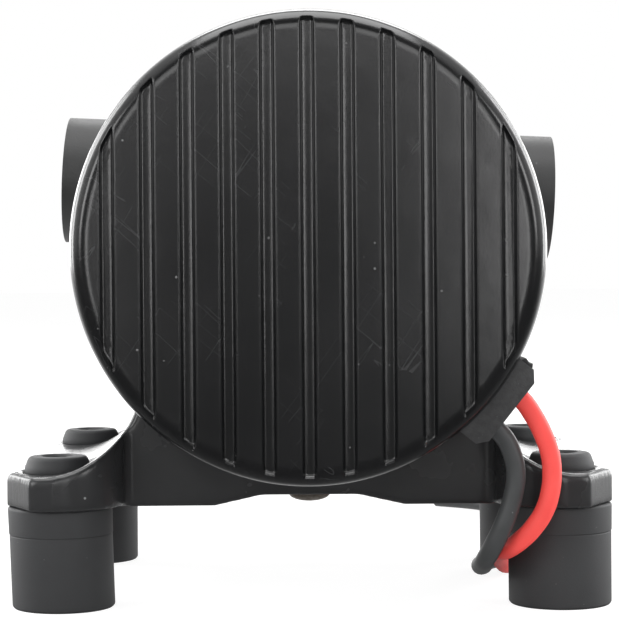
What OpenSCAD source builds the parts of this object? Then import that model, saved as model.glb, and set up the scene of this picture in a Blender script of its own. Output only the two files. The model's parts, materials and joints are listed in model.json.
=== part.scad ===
// Caravan water pump: a 12 volt three-chamber diaphragm pump on a rubber-footed base.
// The origin is on the floor, at the centre of the four mounting holes.
// X runs across the feet, +Y runs from the motor's closed end to the pump head, +Z is up.

/* [Base bracket] */
// Distance between mounting holes across the pump
hole_span_x = 96; // [92:1:110]
// Distance between mounting holes along the pump
hole_span_y = 64; // [56:1:80]
// Thickness of the flat side ears
ear_t = 6.3; // [5:0.1:8]
// Distance from a mounting hole out to the ear's side face
ear_reach = 10; // [9:0.5:13]
// Radius of the ear round each foot
ear_round = 12.5; // [11.5:0.5:14]
// Radius of the concave sweep from the ear up to the motor
sweep_r = 18; // [16:0.5:20]
// Thickness left under the motor at the middle of the saddle
saddle_t = 3.9; // [3:0.1:5]
// Width of the raised middle of the saddle's underside
belly_w = 18; // [14:1:22]
// Wall between the cored pockets of the saddle
rib_t = 4; // [2.5:0.5:6]

/* [Rubber feet] */
// Diameter of a foot
foot_d = 20; // [16:0.5:23]
// Height of a foot below the ear
foot_h = 19; // [14:0.5:20]
// Diameter of the foot's neck in the ear
foot_neck_d = 9; // [8:0.5:10]
// Diameter of the cap above the ear
cap_d = 12; // [11:0.5:14]
// Height of the cap above its seat
cap_h = 4; // [3:0.5:6]
// Diameter of the mounting screw's hole
mount_hole_d = 5.2; // [4.2:0.1:5.6]

/* [Motor cover] */
// Height of the motor's axis above the floor
axis_h = 68.4; // [67:0.2:76]
// Outer diameter of the motor cover
cover_d = 87; // [85:0.5:90]
// Length of the motor cover
cover_len = 104; // [100:1:116]
// Distance from the rear mounting holes to the cover's closed end
rear_overhang = 26; // [18:1:30]
// Wall of the motor cover
cover_wall = 2.5; // [2:0.1:3]
// Thickness of the cover's closed end
cover_end = 4; // [3:0.1:6]
// Number of grooves down the closed end
groove_count = 11; // [3:2:11]
// Distance between grooves
groove_pitch = 7.25; // [5.5:0.05:7.6]
// Width of a groove at its mouth
groove_w = 2.75; // [1.6:0.05:3.4]
// Depth of a groove
groove_depth = 1.25; // [0.6:0.05:1.4]
// Width of the bevel and the round edge about the ribbed face
rim_w = 2.7; // [2.4:0.1:4]
// Radius of the cover's outer edge
rim_round = 1.5; // [0.8:0.1:2]

/* [Motor] */
// Diameter of the motor shaft
shaft_d = 8; // [6:0.5:9]
// Outer diameter of the shaft bearings
bearing_d = 22; // [19:0.5:26]
// Width of the shaft bearings
bearing_w = 7; // [5:0.5:8]
// Diameter of the armature
armature_d = 48; // [44:1:52]
// Number of armature slots
slot_count = 10; // [8:1:12]
// Diameter of the commutator
commutator_d = 24; // [20:1:26]
// Wall of the steel can
can_wall = 2; // [1.5:0.1:2.5]
// Width of a brush
brush_w = 6; // [4:0.5:8]

/* [Pump] */
// Outer diameter of the drive housing and the pump head
head_d = 84; // [82:1:88]
// Length of the drive housing
housing_len = 30; // [29:1:36]
// Tilt of the cam that rocks the wobble plate
cam_tilt = 3.5; // [2:0.5:3.5]
// Distance of the pistons from the motor's axis
piston_ring = 17; // [16.5:0.5:18]
// Diameter of a piston
piston_d = 14.8; // [13:0.2:15]
// Thickness of the valve plate
valve_plate_t = 10; // [9.8:0.1:13]
// Length of the pump head
head_len = 30; // [27:1:36]
// Angle by which the pump head is turned on the motor
head_roll = 2.7; // [0:0.1:6]

/* [Ports] */
// Outer diameter of the two ports
port_d = 32; // [27:0.5:33]
// Distance between the ends of the two ports
port_span = 123.4; // [110:1:134]
// Height of the ports above the motor's axis
port_rise = 15.9; // [13:0.1:17]
// Diameter of the threaded socket in a port
socket_d = 18.6; // [17:0.1:21]
// Depth of the threaded socket
socket_len = 15; // [12:0.5:18]

/* [Pressure switch] */
// Width of the pressure switch
switch_w = 44; // [42:1:50]
// Height of the pressure switch
switch_h = 34; // [32:1:40]
// Depth of the pressure switch's base
switch_base_t = 9; // [7:0.5:11]
// Depth of the pressure switch's cover
switch_cover_t = 14; // [13.5:0.5:18]
// Travel of the switch's plunger
plunger_travel = 1.2; // [0.6:0.1:1.6]

/* [Leads] */
// Diameter of the two insulated leads
lead_d = 3.6; // [2.6:0.1:3.8]
// Angle of the lead gland below the horizontal
gland_angle = 38.5; // [30:0.5:45]
// Length of the gland along the cover
gland_len = 13; // [10:0.5:16]

/* [Hidden] */
// Overrun of every cut past the face that it opens
cut = 0.5;
// Gap between a turned seat and what sits in it
seat_gap = 0.1;
// Gap between curved faces that don't fit each other
free_gap = 0.3;
// Running gap between a shaft and its bearing
run_gap = 0.05;
fine = 96;
small = 40;

// Cover, can and the parts on the motor's axis, along Y
cover_r = cover_d / 2;
cover_y = -hole_span_y / 2 - rear_overhang;
cover_front_y = cover_y + cover_len;
rim_slope = 35;
rim_depth = (rim_w - rim_round * (1 - sin(rim_slope))) * tan(rim_slope) + rim_round * cos(rim_slope);
groove_draft = 0.4;
can_r = cover_r - cover_wall - free_gap;
can_bore = can_r - can_wall;
can_y = cover_y + cover_end;
can_mouth_gap = 2;
can_front_y = cover_front_y - can_mouth_gap;
washer_t = 1;
rear_bearing_y = can_y + can_wall + washer_t;
bearing_wall = 2.5;
end_plate_t = 4;
end_plate_y = can_front_y - end_plate_t;
front_bearing_y = end_plate_y;
shaft_r = shaft_d / 2;
armature_r = armature_d / 2;
air_gap = 0.8;
magnet_r = armature_r + air_gap;
magnet_overhang = 4;
magnet_angle = 116;
winding_len = 8;
winding_gap = 2;
commutator_len = 12;
commutator_r = commutator_d / 2;
commutator_gap = 6;
commutator_y = end_plate_y - commutator_gap - commutator_len;
winding_front_y = commutator_y - winding_gap - winding_len;
armature_rear_gap = 14;
armature_y = rear_bearing_y + bearing_w + armature_rear_gap;
armature_len = winding_front_y - armature_y;
magnet_len = armature_len + magnet_overhang;
winding_clear = 3;
winding_inset = 2.4;
brush_plate_t = 3;
brush_plate_gap = 1;
brush_plate_y = end_plate_y - brush_plate_t - brush_plate_gap;
brush_y = commutator_y + commutator_len / 2;
brush_h = 5;
brush_len = 10;
brush_wall = 1.2;
brush_gap = 0.3;
brush_box_gap = 1;
brush_spring_room = 10;
brush_plate_clear = 3;
brush_box_len = brush_plate_y - brush_y + brush_h / 2 + brush_wall;
bolt_d = 4;
bolt_ring = can_bore - bolt_d;
bolt_head_d = 7;
bolt_head_t = 3;

// Drive housing, cam and wobble plate
housing_y = cover_front_y;
housing_front_y = housing_y + housing_len;
housing_wall = 4;
housing_r = head_d / 2;
waist_step = 4.5;
housing_waist_r = housing_r - waist_step;
housing_bore = housing_waist_r - housing_wall;
flange_t = 6;
diaphragm_t = 2;
cam_back_gap = 12;
nut_y = housing_front_y - cam_back_gap - diaphragm_t;
journal_wall = 4;
journal_r = shaft_r + journal_wall;
journal_len = 10;
cam_step = 2;
cam_hub_r = journal_r + cam_step;
cam_hub_t = 4;
set_screw_r = 1.2;
cam_bearing_w = 8;
cam_bearing_h = 6;
cam_bearing_r = journal_r + cam_bearing_h;
wobble_wall = 3.4;
wobble_hub_r = cam_bearing_r + wobble_wall;
wobble_end_t = 3;
wobble_gap = 1;
pad_r = piston_d / 2 - seat_gap;
piston_r = piston_d / 2;
piston_t = 3;
piston_round = 0.8;
piston_screw_r = 1.5;
piston_head_r = 3;
piston_head_t = 1.5;
piston_screw_len = 9;
chamber_gap = 3;
chamber_r = piston_r + chamber_gap;
chamber_depth = 6.5;

// Diaphragm, valve plate and pump head
diaphragm_y = housing_front_y;
valve_y = diaphragm_y + diaphragm_t;
valve_r = 5;
valve_disc_t = 1.2;
valve_stem_r = 1.4;
valve_shift = 2;
outlet_inset = 8.3;
outlet_ring = piston_ring - outlet_inset;
outlet_hole_r = 1.1;
outlet_lap = 2.1;
outlet_valve_r = outlet_ring + outlet_lap;
inlet_hole_r = 1;
inlet_hole_ring = 3.1;
head_y = valve_y + valve_plate_t;
head_front_y = head_y + head_len;
head_flange_t = 6;
head_step = 7.6;
head_body_r = housing_r - head_step;
head_wall = 3;
center_gap = 1.4;
center_r = outlet_valve_r + center_gap;
center_wall = 2;
seal_lap = 1;
seal_r = head_body_r - head_wall + seal_lap;
seal_w = 2.4;
seal_t = 1.5;
screw_inset = 3.8;
screw_ring = housing_r - screw_inset;
screw_angles = [24, 112, 160, 200, 248, 336];
head_screw_r = 2;
screw_boss_r = 4.6;
screw_boss_t = 2;
screw_cap_r = 3.4;
screw_cap_t = 2.6;
screw_bite = 14;
port_r = port_d / 2;
port_y = head_y + port_r;
duct_r = 6.5;
duct_wall = 2.2;
port_lip = 1.2;
port_lip_t = 4;

// Pressure switch on the end of the head
boss_len = 5;
switch_screw_bite = 4;
boss_y = head_front_y;
sensor_r = 13;
sensor_t = 1.5;
sensor_pocket = 2;
sensor_lap = 2;
sensor_y = boss_y + boss_len;
switch_y = sensor_y;
cover_seat_y = switch_y + switch_base_t;
switch_end_y = cover_seat_y + switch_cover_t;
switch_round = 5;
switch_wall = 2;
plunger_r = 3;
plunger_flange_r = 9;
plunger_flange_t = 2;
plunger_y = switch_y + sensor_t + free_gap;
spring_wire = 0.9;
spring_r = 4.6;
spring_turns = 5;
adjuster_r = 3.5;
adjuster_seat_r = spring_r + spring_wire;
adjuster_seat_t = 1.2;
adjuster_recess = 1;
adjuster_slot = 1.2;
adjuster_len = 4;
adjuster_y = switch_end_y - switch_wall - adjuster_len;
micro_w = 6.4;
micro_h = 20;
micro_t = 8;
micro_x = 8.9;
button_rise = 0.6;
micro_y = plunger_y + plunger_flange_t + plunger_travel + button_rise;
button_r = 1.1;
blade_w = 6.3;
blade_t = 0.8;
blade_len = 9;
blade_x = 10.5;
blade_y = micro_y + micro_t - 2 * blade_t;
switch_screw_r = 1.6;
switch_screw_inset = 4.4;
switch_screw_x = switch_w / 2 - switch_screw_inset;
switch_screw_z = switch_h / 2 - switch_screw_inset;
switch_cap_r = 3;
switch_cap_t = 1.8;

// Base screws, seen from below in the saddle
base_screw_r = 2;
base_screw_head_r = 4;
base_screw_head_t = 2;
base_screw_inset = 8;
base_screw_bite = 1.4;

// Rubber feet
foot_r = foot_d / 2;
foot_seam_share = 0.26;
foot_seam = 0.25;
foot_slim = 0.3;
foot_edge = 1;
cap_taper = 0.75;
ear_slot_gap = 0.3;
ear_slot_shift = 2.5;
spot_rim = 0.7;
spot_r = foot_neck_d / 2 + ear_slot_gap + ear_slot_shift + spot_rim;
ear_chamfer_x = 5.6;
ear_chamfer_y = 11;
ear_chamfer_rise = 0.7;
web_fillet = 1;
sweep_start = 2.5;
spot_t = 0.5;
cap_ring_t = 0.5;

// Gland: a block on the cover's wall, with a locking clip at one end
gland_setback = 3.6;
gland_y = cover_y + gland_setback;
gland_left = 9.3;
gland_right = 7.8;
gland_low = 3.2;
gland_high = 4.8;
gland_bevel = 1.9;
gland_sink = 2.2;
clip_t = 0.9;
clip_w = 2.6;
lead_r = lead_d / 2;
lead_sides = 8;
black_t = -4.95;
red_t = 2.3;

// Route of the black lead: from the gland down and back along the floor behind the feet
black_route = [
    [33.1, -48, 35.8], [34.9, -48, 34.3], [36.4, -48, 32.4], [37.4, -48, 30.1], [38, -48, 27.4],
    [38, -48, 25], [37.5, -48, 22.3], [36.6, -48, 19.3], [35.2, -47.8, 15.9], [33.8, -46.7, 12.8],
    [32.9, -44, 10.4], [32.7, -39.8, 8.8], [32.8, -34.6, 7.6], [33.1, -28, 6.6], [34, -19, 5.2],
    [35.1, -10, 3.9], [36, -2, 2.8], [36.4, 5, 1.9], [39, 11.4, 1.9], [44.2, 16, 1.9],
    [50.6, 18, 1.9], [56.4, 20.8, 1.9], [59.6, 26.4, 1.9], [60.4, 33, 1.9], [60.7, 42, 1.9],
    [60.5, 52, 1.9], [60, 62, 1.9], [59, 72, 1.9], [57.6, 82, 1.9], [55.6, 92, 1.9],
    [52.4, 101.4, 1.9], [48, 110, 1.9], [42, 117.6, 1.9], [34.6, 123.6, 1.9]
];
// Route of the red lead: beside the black one, then up to the pressure switch
red_route = [
    [37.6, -48, 41.4], [39.4, -48, 39.9], [41.3, -48, 37.2], [43.1, -48, 33.7], [44.4, -48, 29.9],
    [44.7, -48, 26.4], [44.4, -48, 23.2], [43.3, -47.9, 19.6], [41.2, -47.2, 16.2], [39, -45.7, 13.7],
    [37.2, -42.8, 11.9], [36, -38.6, 10.9], [35.7, -32.5, 10.1], [36.2, -25.8, 8.9], [37.2, -18.5, 7.3],
    [38.6, -10.5, 5.6], [39.9, -2.8, 3.4], [41.8, 5, 1.9], [45.6, 10.8, 1.9], [51.6, 13.6, 1.9],
    [57.8, 16, 1.9], [62.2, 20.6, 1.9], [64.2, 27, 1.9], [64.6, 35, 1.9], [64.6, 44, 1.9],
    [64.4, 53, 1.9], [64, 63, 1.9], [63.4, 73, 1.9], [62.4, 83, 1.9], [60.8, 93, 1.9],
    [58.4, 103, 1.9], [55, 112.6, 1.9], [50.2, 121.6, 1.9], [44.2, 129.6, 1.9], [36.8, 136.2, 1.9],
    [28.4, 139.6, 3.2], [20.6, 139.6, 7], [14.1, 137.8, 12.6], [10.4, 136.2, 19.4], [8.6, 135.2, 26.6],
    [8.9, 135, 34]
];
bare_end_len = 8;
bare_end_r = 1;
plug_len = 21;
plug_t = 4.6;
plug_w = 8.8;

// Places a shape drawn along +Z so that it runs along +Y from y, on the motor's axis
module on_axis(y) {
    translate([0, y, axis_h]) rotate([-90, 0, 0]) children();
}

// Extrudes an outline drawn in X and Z, about the motor's axis, from y over a length
module slab(y, length) {
    translate([0, y + length, axis_h]) rotate([90, 0, 0]) linear_extrude(length) children();
}

// A round bar or ring on the motor's axis
module ring_on_axis(y, length, outer, inner = 0) {
    on_axis(y) difference() {
        cylinder(h = length, r = outer, $fn = fine);
        if (inner > 0)
            translate([0, 0, -cut]) cylinder(h = length + 2 * cut, r = inner, $fn = fine);
    }
}

// Repeats a shape at equal angles about the motor's axis
module around(count, first = 0) {
    at_angles([for (i = [0 : count - 1]) first + i * 360 / count]) children();
}

// Repeats a shape at a list of angles about the motor's axis, clockwise from the top
module at_angles(angles) {
    for (a = angles)
        translate([0, 0, axis_h]) rotate([0, a, 0]) translate([0, 0, -axis_h]) children();
}

// Turns the pump head and what is on it about the motor's axis
module rolled() {
    translate([0, 0, axis_h]) rotate([0, head_roll, 0]) translate([0, 0, -axis_h]) children();
}

// Tilts the wobble plate's pieces about the middle of the cam
module nutated() {
    translate([0, nut_y, axis_h]) rotate([cam_tilt, 0, 0]) translate([0, -nut_y, -axis_h])
        children();
}

// A round bar along +Y, a distance above the motor's axis
module bar_above(rise, y, length, r) {
    translate([0, y, axis_h + rise]) rotate([-90, 0, 0]) cylinder(h = length, r = r, $fn = small);
}

// A rectangle with round corners, centred on zero
module round_rect(w, h, r) {
    square([w - 2 * r, h], center = true);
    square([w, h - 2 * r], center = true);
    for (x = [-1, 1], y = [-1, 1])
        translate([x * (w / 2 - r), y * (h / 2 - r)]) circle(r = r, $fn = small);
}

function unit(v) = v / norm(v);
function heading(p, i) = unit(p[min(i + 1, len(p) - 1)] - p[max(i - 1, 0)]);
function first_side(p) = unit(cross(heading(p, 0), [0.1, 0.3, 1]));
function side_at(p, i) = i == 0 ? first_side(p)
    : let (d = heading(p, i), s = side_at(p, i - 1)) unit(s - (s * d) * d);
function ring_at(p, i, r, sides) = let (d = heading(p, i), s = side_at(p, i), t = cross(d, s))
    [for (k = [0 : sides - 1]) p[i] + r * (cos(360 * k / sides) * s + sin(360 * k / sides) * t)];
function tube_faces(n, sides) = concat(
    [for (k = [1 : sides - 2]) [0, k, k + 1]],
    [for (i = [0 : n - 2], k = [0 : sides - 1], half = [0, 1])
        let (a = i * sides + k, b = i * sides + (k + 1) % sides)
        half == 0 ? [a, a + sides, b + sides] : [a, b + sides, b]],
    [for (k = [1 : sides - 2]) (n - 1) * sides * [1, 1, 1] + [0, k + 1, k]]);

// A tube swept along a list of points
module swept_tube(p, r, sides) {
    polyhedron(
        points = [for (i = [0 : len(p) - 1]) each ring_at(p, i, r, sides)],
        faces = tube_faces(len(p), sides), convexity = 10);
}

// A coil spring that stands along +Z
module coil_spring(r, wire, turns, length) {
    steps = 8;
    swept_tube([for (i = [0 : turns * steps])
        [r * cos(i * 360 / steps), r * sin(i * 360 / steps),
         wire + (length - 2 * wire) * i / (turns * steps)]], wire / 2, 6);
}

module groove_cutter() {
    // The groove's section, wide at its mouth, swept down the whole face
    floor_w = groove_w - 2 * groove_depth * groove_draft;
    mouth_w = groove_w + 2 * cut * groove_draft;
    translate([0, cover_y, axis_h - cover_d]) linear_extrude(2 * cover_d)
        polygon([[-mouth_w / 2, -cut], [mouth_w / 2, -cut],
                 [floor_w / 2, groove_depth], [-floor_w / 2, groove_depth]]);
}

module motor_cover() {
    inner_r = cover_r - cover_wall;
    // Round edge that runs on from the bevel
    edge = [for (a = [rim_slope : 11 : 90])
        [cover_r - rim_round * (1 - sin(a)), rim_depth - rim_round * cos(a)]];
    color("#26282a") difference() {
        on_axis(cover_y) rotate_extrude($fn = 128) polygon(concat(
            [[0, 0], [cover_r - rim_w, 0]], edge,
            [[cover_r, cover_len], [inner_r, cover_len], [inner_r, cover_end], [0, cover_end]]));
        for (i = [0 : groove_count - 1])
            translate([(i - (groove_count - 1) / 2) * groove_pitch, 0, 0]) groove_cutter();
        base_screw_holes(base_screw_r + seat_gap);
        lead_holes();
    }
}

module motor_can() {
    color("#8b8d8e") difference() {
        ring_on_axis(can_y, can_front_y - can_y, can_r);
        ring_on_axis(can_y + can_wall, can_front_y - can_y, can_bore);
        // Lightening of the closed end round the bearing's pocket
        ring_on_axis(can_y - cut, can_wall + 2 * cut, shaft_r + washer_t);
        base_screw_holes(base_screw_r);
        lead_holes();
    }
    // Pocket for the rear bearing
    color("#8b8d8e") ring_on_axis(can_y + can_wall, washer_t + bearing_w,
        bearing_d / 2 + seat_gap + bearing_wall, bearing_d / 2 + seat_gap);
}

module magnets() {
    color("#3a3a3c") intersection() {
        ring_on_axis(armature_y - (magnet_len - armature_len) / 2, magnet_len,
            can_bore - seat_gap, magnet_r);
        union() {
            magnet_wedge(0);
            magnet_wedge(180);
        }
    }
}

// The slice of the can that one magnet fills, to one side of the axis
module magnet_wedge(turn) {
    reach = 2 * can_r;
    rise = reach * tan(magnet_angle / 2);
    slab(can_y, can_front_y - can_y) rotate(turn)
        polygon([[0, 0], [reach, -rise], [reach, rise]]);
}

module motor_shaft() {
    color("#b9bcbe") ring_on_axis(rear_bearing_y, nut_y + journal_len / 2 - rear_bearing_y, shaft_r);
}

module armature_core() {
    slot_w = 3.2;
    slot_depth = 10;
    mouth_w = 1.6;
    tooth_tip = 1.8;
    color("#5b5e60") difference() {
        ring_on_axis(armature_y, armature_len, armature_r, shaft_r + run_gap);
        around(slot_count) {
            translate([-mouth_w / 2, armature_y - cut, axis_h + armature_r - tooth_tip - cut])
                cube([mouth_w, armature_len + 2 * cut, tooth_tip + 2 * cut]);
            translate([-slot_w / 2, armature_y - cut, axis_h + armature_r - tooth_tip - slot_depth])
                cube([slot_w, armature_len + 2 * cut, slot_depth]);
        }
    }
}

// One end of the winding, a rounded ring of wire against the armature's stack
module winding_end(y) {
    inner = shaft_r + winding_clear;
    outer = armature_r - winding_inset;
    round_r = 3;
    on_axis(y) rotate_extrude($fn = fine) polygon([
        [inner, 0], [outer, 0], [outer, winding_len - round_r], [outer - round_r, winding_len],
        [inner + round_r / 2, winding_len], [inner, winding_len - round_r / 2]]);
}

module windings() {
    wire_w = 2.4;
    wire_h = 8;
    color("#a85a2a") {
        winding_end(winding_front_y);
        translate([0, 2 * armature_y, 0]) mirror([0, 1, 0]) winding_end(armature_y);
        around(slot_count)
            translate([-wire_w / 2, armature_y - run_gap, axis_h + armature_r - winding_inset - wire_h])
                cube([wire_w, armature_len + 2 * run_gap, wire_h]);
    }
}

module commutator() {
    gap_w = 0.6;
    gap_depth = 1.2;
    color("#b5743d") difference() {
        ring_on_axis(commutator_y, commutator_len, commutator_r, shaft_r + run_gap);
        around(slot_count)
            translate([-gap_w / 2, commutator_y - cut, axis_h + commutator_r - gap_depth])
                cube([gap_w, commutator_len + 2 * cut, gap_depth + cut]);
    }
}

// A sealed ball bearing: outer ring, recessed seal and inner ring in one outline
module ball_bearing(y, width, outer, bore) {
    race_share = 0.24;
    race = (outer - bore) * race_share;
    dish = 0.5;
    on_axis(y) rotate_extrude($fn = fine) polygon([
        [bore, 0], [bore + race, 0], [bore + race, dish], [outer - race, dish],
        [outer - race, 0], [outer, 0], [outer, width], [outer - race, width],
        [outer - race, width - dish], [bore + race, width - dish], [bore + race, width],
        [bore, width]]);
}

module rear_bearing() {
    color("#c3c6c8") ball_bearing(rear_bearing_y, bearing_w, bearing_d / 2, shaft_r + run_gap);
}

module front_bearing() {
    color("#c3c6c8") ball_bearing(front_bearing_y, bearing_w, bearing_d / 2, shaft_r + run_gap);
}

module wave_washer() {
    color("#9a9c9e") ring_on_axis(rear_bearing_y - washer_t, washer_t,
        bearing_d / 2 - seat_gap, shaft_r + 3 * washer_t);
}

// Places a shape drawn along +X on both brush sides of the commutator
module both_brushes() {
    for (turn = [0, 180])
        translate([0, brush_y, axis_h]) rotate([0, turn, 0]) children();
}

module brush_holder() {
    box_w = brush_w + 2 * brush_wall + 2 * brush_gap;
    box_y = brush_h / 2 + brush_wall;
    inner = commutator_r + brush_box_gap;
    outer = inner + brush_len + brush_spring_room;
    color("#2f3032") {
        difference() {
            ring_on_axis(brush_plate_y, brush_plate_t, can_bore - free_gap,
                commutator_r + brush_plate_clear);
            around(2) bar_above(bolt_ring, brush_plate_y - cut, brush_plate_t + 2 * cut,
                bolt_d / 2 + free_gap);
        }
        difference() {
            both_brushes() translate([inner, -box_y, -box_w / 2])
                cube([outer - inner, brush_box_len, box_w]);
            both_brushes() translate([inner - cut, -brush_h / 2 - brush_gap, -box_w / 2 + brush_wall])
                cube([outer - inner - brush_wall + cut, brush_h + 2 * brush_gap,
                      box_w - 2 * brush_wall]);
        }
    }
}

module brushes() {
    color("#2b2b2d") both_brushes() difference() {
        translate([commutator_r - brush_gap, -brush_h / 2, -brush_w / 2])
            cube([brush_len, brush_h, brush_w]);
        rotate([-90, 0, 0]) translate([0, 0, -brush_h])
            cylinder(h = 2 * brush_h, r = commutator_r + brush_gap, $fn = fine);
    }
}

module brush_springs() {
    start = commutator_r - brush_gap + brush_len;
    end = commutator_r + brush_box_gap + brush_len + brush_spring_room - brush_wall;
    wire = 0.5;
    turns = 5;
    color("#a9acae") both_brushes() translate([start, 0, 0]) rotate([0, 90, 0])
        coil_spring(brush_h / 2 - wire, wire, turns, end - start);
}

module motor_end_plate() {
    boss_r_out = bearing_d / 2 + seat_gap + bearing_wall;
    color("#96999b") difference() {
        union() {
            ring_on_axis(end_plate_y, end_plate_t, can_bore - seat_gap);
            ring_on_axis(end_plate_y, bearing_w, boss_r_out);
        }
        ring_on_axis(end_plate_y - cut, bearing_w + 2 * cut, bearing_d / 2 + seat_gap);
        around(2) bar_above(bolt_ring, end_plate_y - cut, end_plate_t + 2 * cut,
            bolt_d / 2 + seat_gap);
        base_screw_holes(base_screw_r + seat_gap);
    }
}

module through_bolts() {
    slot_w = 1;
    color("#b0b2b3") around(2) {
        bar_above(bolt_ring, can_y + can_wall, end_plate_y + end_plate_t - can_y - can_wall, bolt_d / 2);
        difference() {
            bar_above(bolt_ring, can_front_y, can_mouth_gap, bolt_head_d / 2);
            translate([-bolt_head_d, can_front_y + can_mouth_gap / 2, axis_h + bolt_ring - slot_w / 2])
                cube([2 * bolt_head_d, bolt_head_t, slot_w]);
        }
    }
}

module drive_housing() {
    rib_count = 12;
    rib_w = 2.4;
    rib_step = 1.2;
    rib_root = 1;
    front_wall = 3;
    plate_bore = bearing_d / 2 + 2 * bearing_wall;
    middle_r = piston_ring - pad_r;
    color("#2a2c2e") difference() {
        union() {
            // Shell with its two flanges, open at the motor's end
            on_axis(housing_y) rotate_extrude($fn = fine) polygon([
                [plate_bore, 0], [cover_r, 0], [cover_r, flange_t], [housing_waist_r, flange_t],
                [housing_waist_r, housing_len - flange_t], [housing_r, housing_len - flange_t],
                [housing_r, housing_len], [middle_r, housing_len],
                [middle_r, housing_len - front_wall], [housing_bore, housing_len - front_wall],
                [housing_bore, housing_wall], [plate_bore, housing_wall]]);
            // Ribs between the two flanges
            around(rib_count, 360 / rib_count / 2)
                translate([-rib_w / 2, housing_y + rib_root, axis_h + housing_waist_r - rib_root])
                    cube([rib_w, housing_len - 2 * rib_root,
                          housing_r - rib_step - housing_waist_r + rib_root]);
            rolled() at_angles(screw_angles)
                bar_above(screw_ring, housing_y + flange_t - rib_root, housing_len - flange_t, screw_boss_r);
        }
        // One round window for each pad of the wobble plate, joined in the middle
        around(3) bar_above(piston_ring, housing_front_y - front_wall - cut, front_wall + 2 * cut,
            chamber_r);
        rolled() at_angles(screw_angles)
            bar_above(screw_ring, housing_front_y - screw_bite, screw_bite + cut,
                head_screw_r + seat_gap);
    }
}

module cam() {
    hub_y = nut_y - journal_len / 2 - cam_hub_t;
    color("#aeb1b3") difference() {
        union() {
            ring_on_axis(hub_y, cam_hub_t, cam_hub_r);
            nutated() ring_on_axis(nut_y - journal_len / 2 - cut, journal_len + cut, journal_r);
        }
        ring_on_axis(hub_y - cut, journal_len + 2 * cam_hub_t, shaft_r + run_gap);
        // Hole of the screw that locks the cam on the shaft
        translate([0, hub_y + cam_hub_t / 2, axis_h]) cylinder(h = cam_hub_r + cut, r = set_screw_r,
            $fn = small);
    }
}

module cam_bearing() {
    color("#c3c6c8") nutated()
        ball_bearing(nut_y - cam_bearing_w / 2, cam_bearing_w, cam_bearing_r, journal_r + run_gap);
}

module wobble_plate() {
    hub_y = nut_y - cam_bearing_w / 2;
    end_y = nut_y + journal_len / 2 + wobble_gap;
    step_r = journal_r + cam_step;
    color("#d9d4c6") nutated() difference() {
        union() {
            ring_on_axis(hub_y, end_y + wobble_end_t - hub_y, wobble_hub_r);
            around(3) bar_above(piston_ring, end_y, diaphragm_y - end_y, pad_r);
        }
        ring_on_axis(hub_y - cut, cam_bearing_w + cut, cam_bearing_r + seat_gap);
        ring_on_axis(hub_y, end_y - hub_y, step_r);
        around(3) bar_above(piston_ring, valve_y + piston_t - piston_screw_len,
            piston_screw_len, piston_screw_r + run_gap);
    }
}

module pistons() {
    color("#e4e2da") nutated() around(3) difference() {
        translate([0, valve_y, axis_h + piston_ring]) rotate([-90, 0, 0])
            rotate_extrude($fn = small) polygon([
                [0, 0], [piston_r, 0], [piston_r, piston_t - piston_round],
                [piston_r - piston_round, piston_t], [0, piston_t]]);
        bar_above(piston_ring, valve_y - cut, piston_t + 2 * cut, piston_screw_r + run_gap);
        bar_above(piston_ring, valve_y + piston_t - piston_head_t, piston_head_t + cut,
            piston_head_r + seat_gap);
    }
}

module piston_screws() {
    front = valve_y + piston_t;
    slot_w = 0.8;
    color("#b4b7b9") nutated() around(3) difference() {
        union() {
            bar_above(piston_ring, front - piston_screw_len, piston_screw_len, piston_screw_r);
            bar_above(piston_ring, front - piston_head_t, piston_head_t, piston_head_r);
        }
        translate([-piston_head_r, front - piston_head_t / 2, axis_h + piston_ring - slot_w / 2])
            cube([2 * piston_head_r, piston_head_t, slot_w]);
    }
}

module diaphragm() {
    lobe_gap = 1;
    window_r = piston_r + lobe_gap;
    color("#1c1c1e") {
        difference() {
            ring_on_axis(diaphragm_y, diaphragm_t, housing_r);
            around(3) bar_above(piston_ring, diaphragm_y - cut, diaphragm_t + 2 * cut, window_r);
            rolled() at_angles(screw_angles)
                bar_above(screw_ring, diaphragm_y - cut, diaphragm_t + 2 * cut,
                    head_screw_r + seat_gap);
        }
        // Each round lobe follows its piston
        nutated() around(3) difference() {
            bar_above(piston_ring, diaphragm_y, diaphragm_t, window_r + lobe_gap);
            bar_above(piston_ring, diaphragm_y - cut, diaphragm_t + 2 * cut,
                piston_screw_r + run_gap);
        }
    }
}

module valve_plate() {
    floor_y = valve_y + chamber_depth;
    color("#cfcabb") difference() {
        ring_on_axis(valve_y, valve_plate_t, housing_r);
        around(3) {
            bar_above(piston_ring, valve_y - cut, chamber_depth + cut, chamber_r);
            bar_above(piston_ring + valve_shift, floor_y - cut, valve_plate_t, valve_stem_r + seat_gap);
            for (a = [45 : 90 : 315])
                translate([inlet_hole_ring * cos(a), 0, inlet_hole_ring * sin(a)])
                    bar_above(piston_ring + valve_shift, floor_y - cut, valve_plate_t, inlet_hole_r);
            bar_above(outlet_ring, floor_y - cut, valve_plate_t, outlet_hole_r);
        }
        ring_on_axis(floor_y - cut, valve_plate_t, valve_stem_r + seat_gap);
        // Groove of the seal
        ring_on_axis(head_y - seal_t, seal_t + cut, seal_r + seat_gap, seal_r - seal_w - seat_gap);
        rolled() at_angles(screw_angles)
            bar_above(screw_ring, valve_y - cut, valve_plate_t + 2 * cut, head_screw_r + seat_gap);
    }
}

module inlet_valves() {
    floor_y = valve_y + chamber_depth;
    bead = 0.6;
    color("#232326") around(3) {
        bar_above(piston_ring + valve_shift, floor_y - valve_disc_t, valve_disc_t, valve_r);
        bar_above(piston_ring + valve_shift, floor_y, head_y - floor_y, valve_stem_r);
        bar_above(piston_ring + valve_shift, head_y, bead, valve_stem_r + bead);
    }
}

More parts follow.
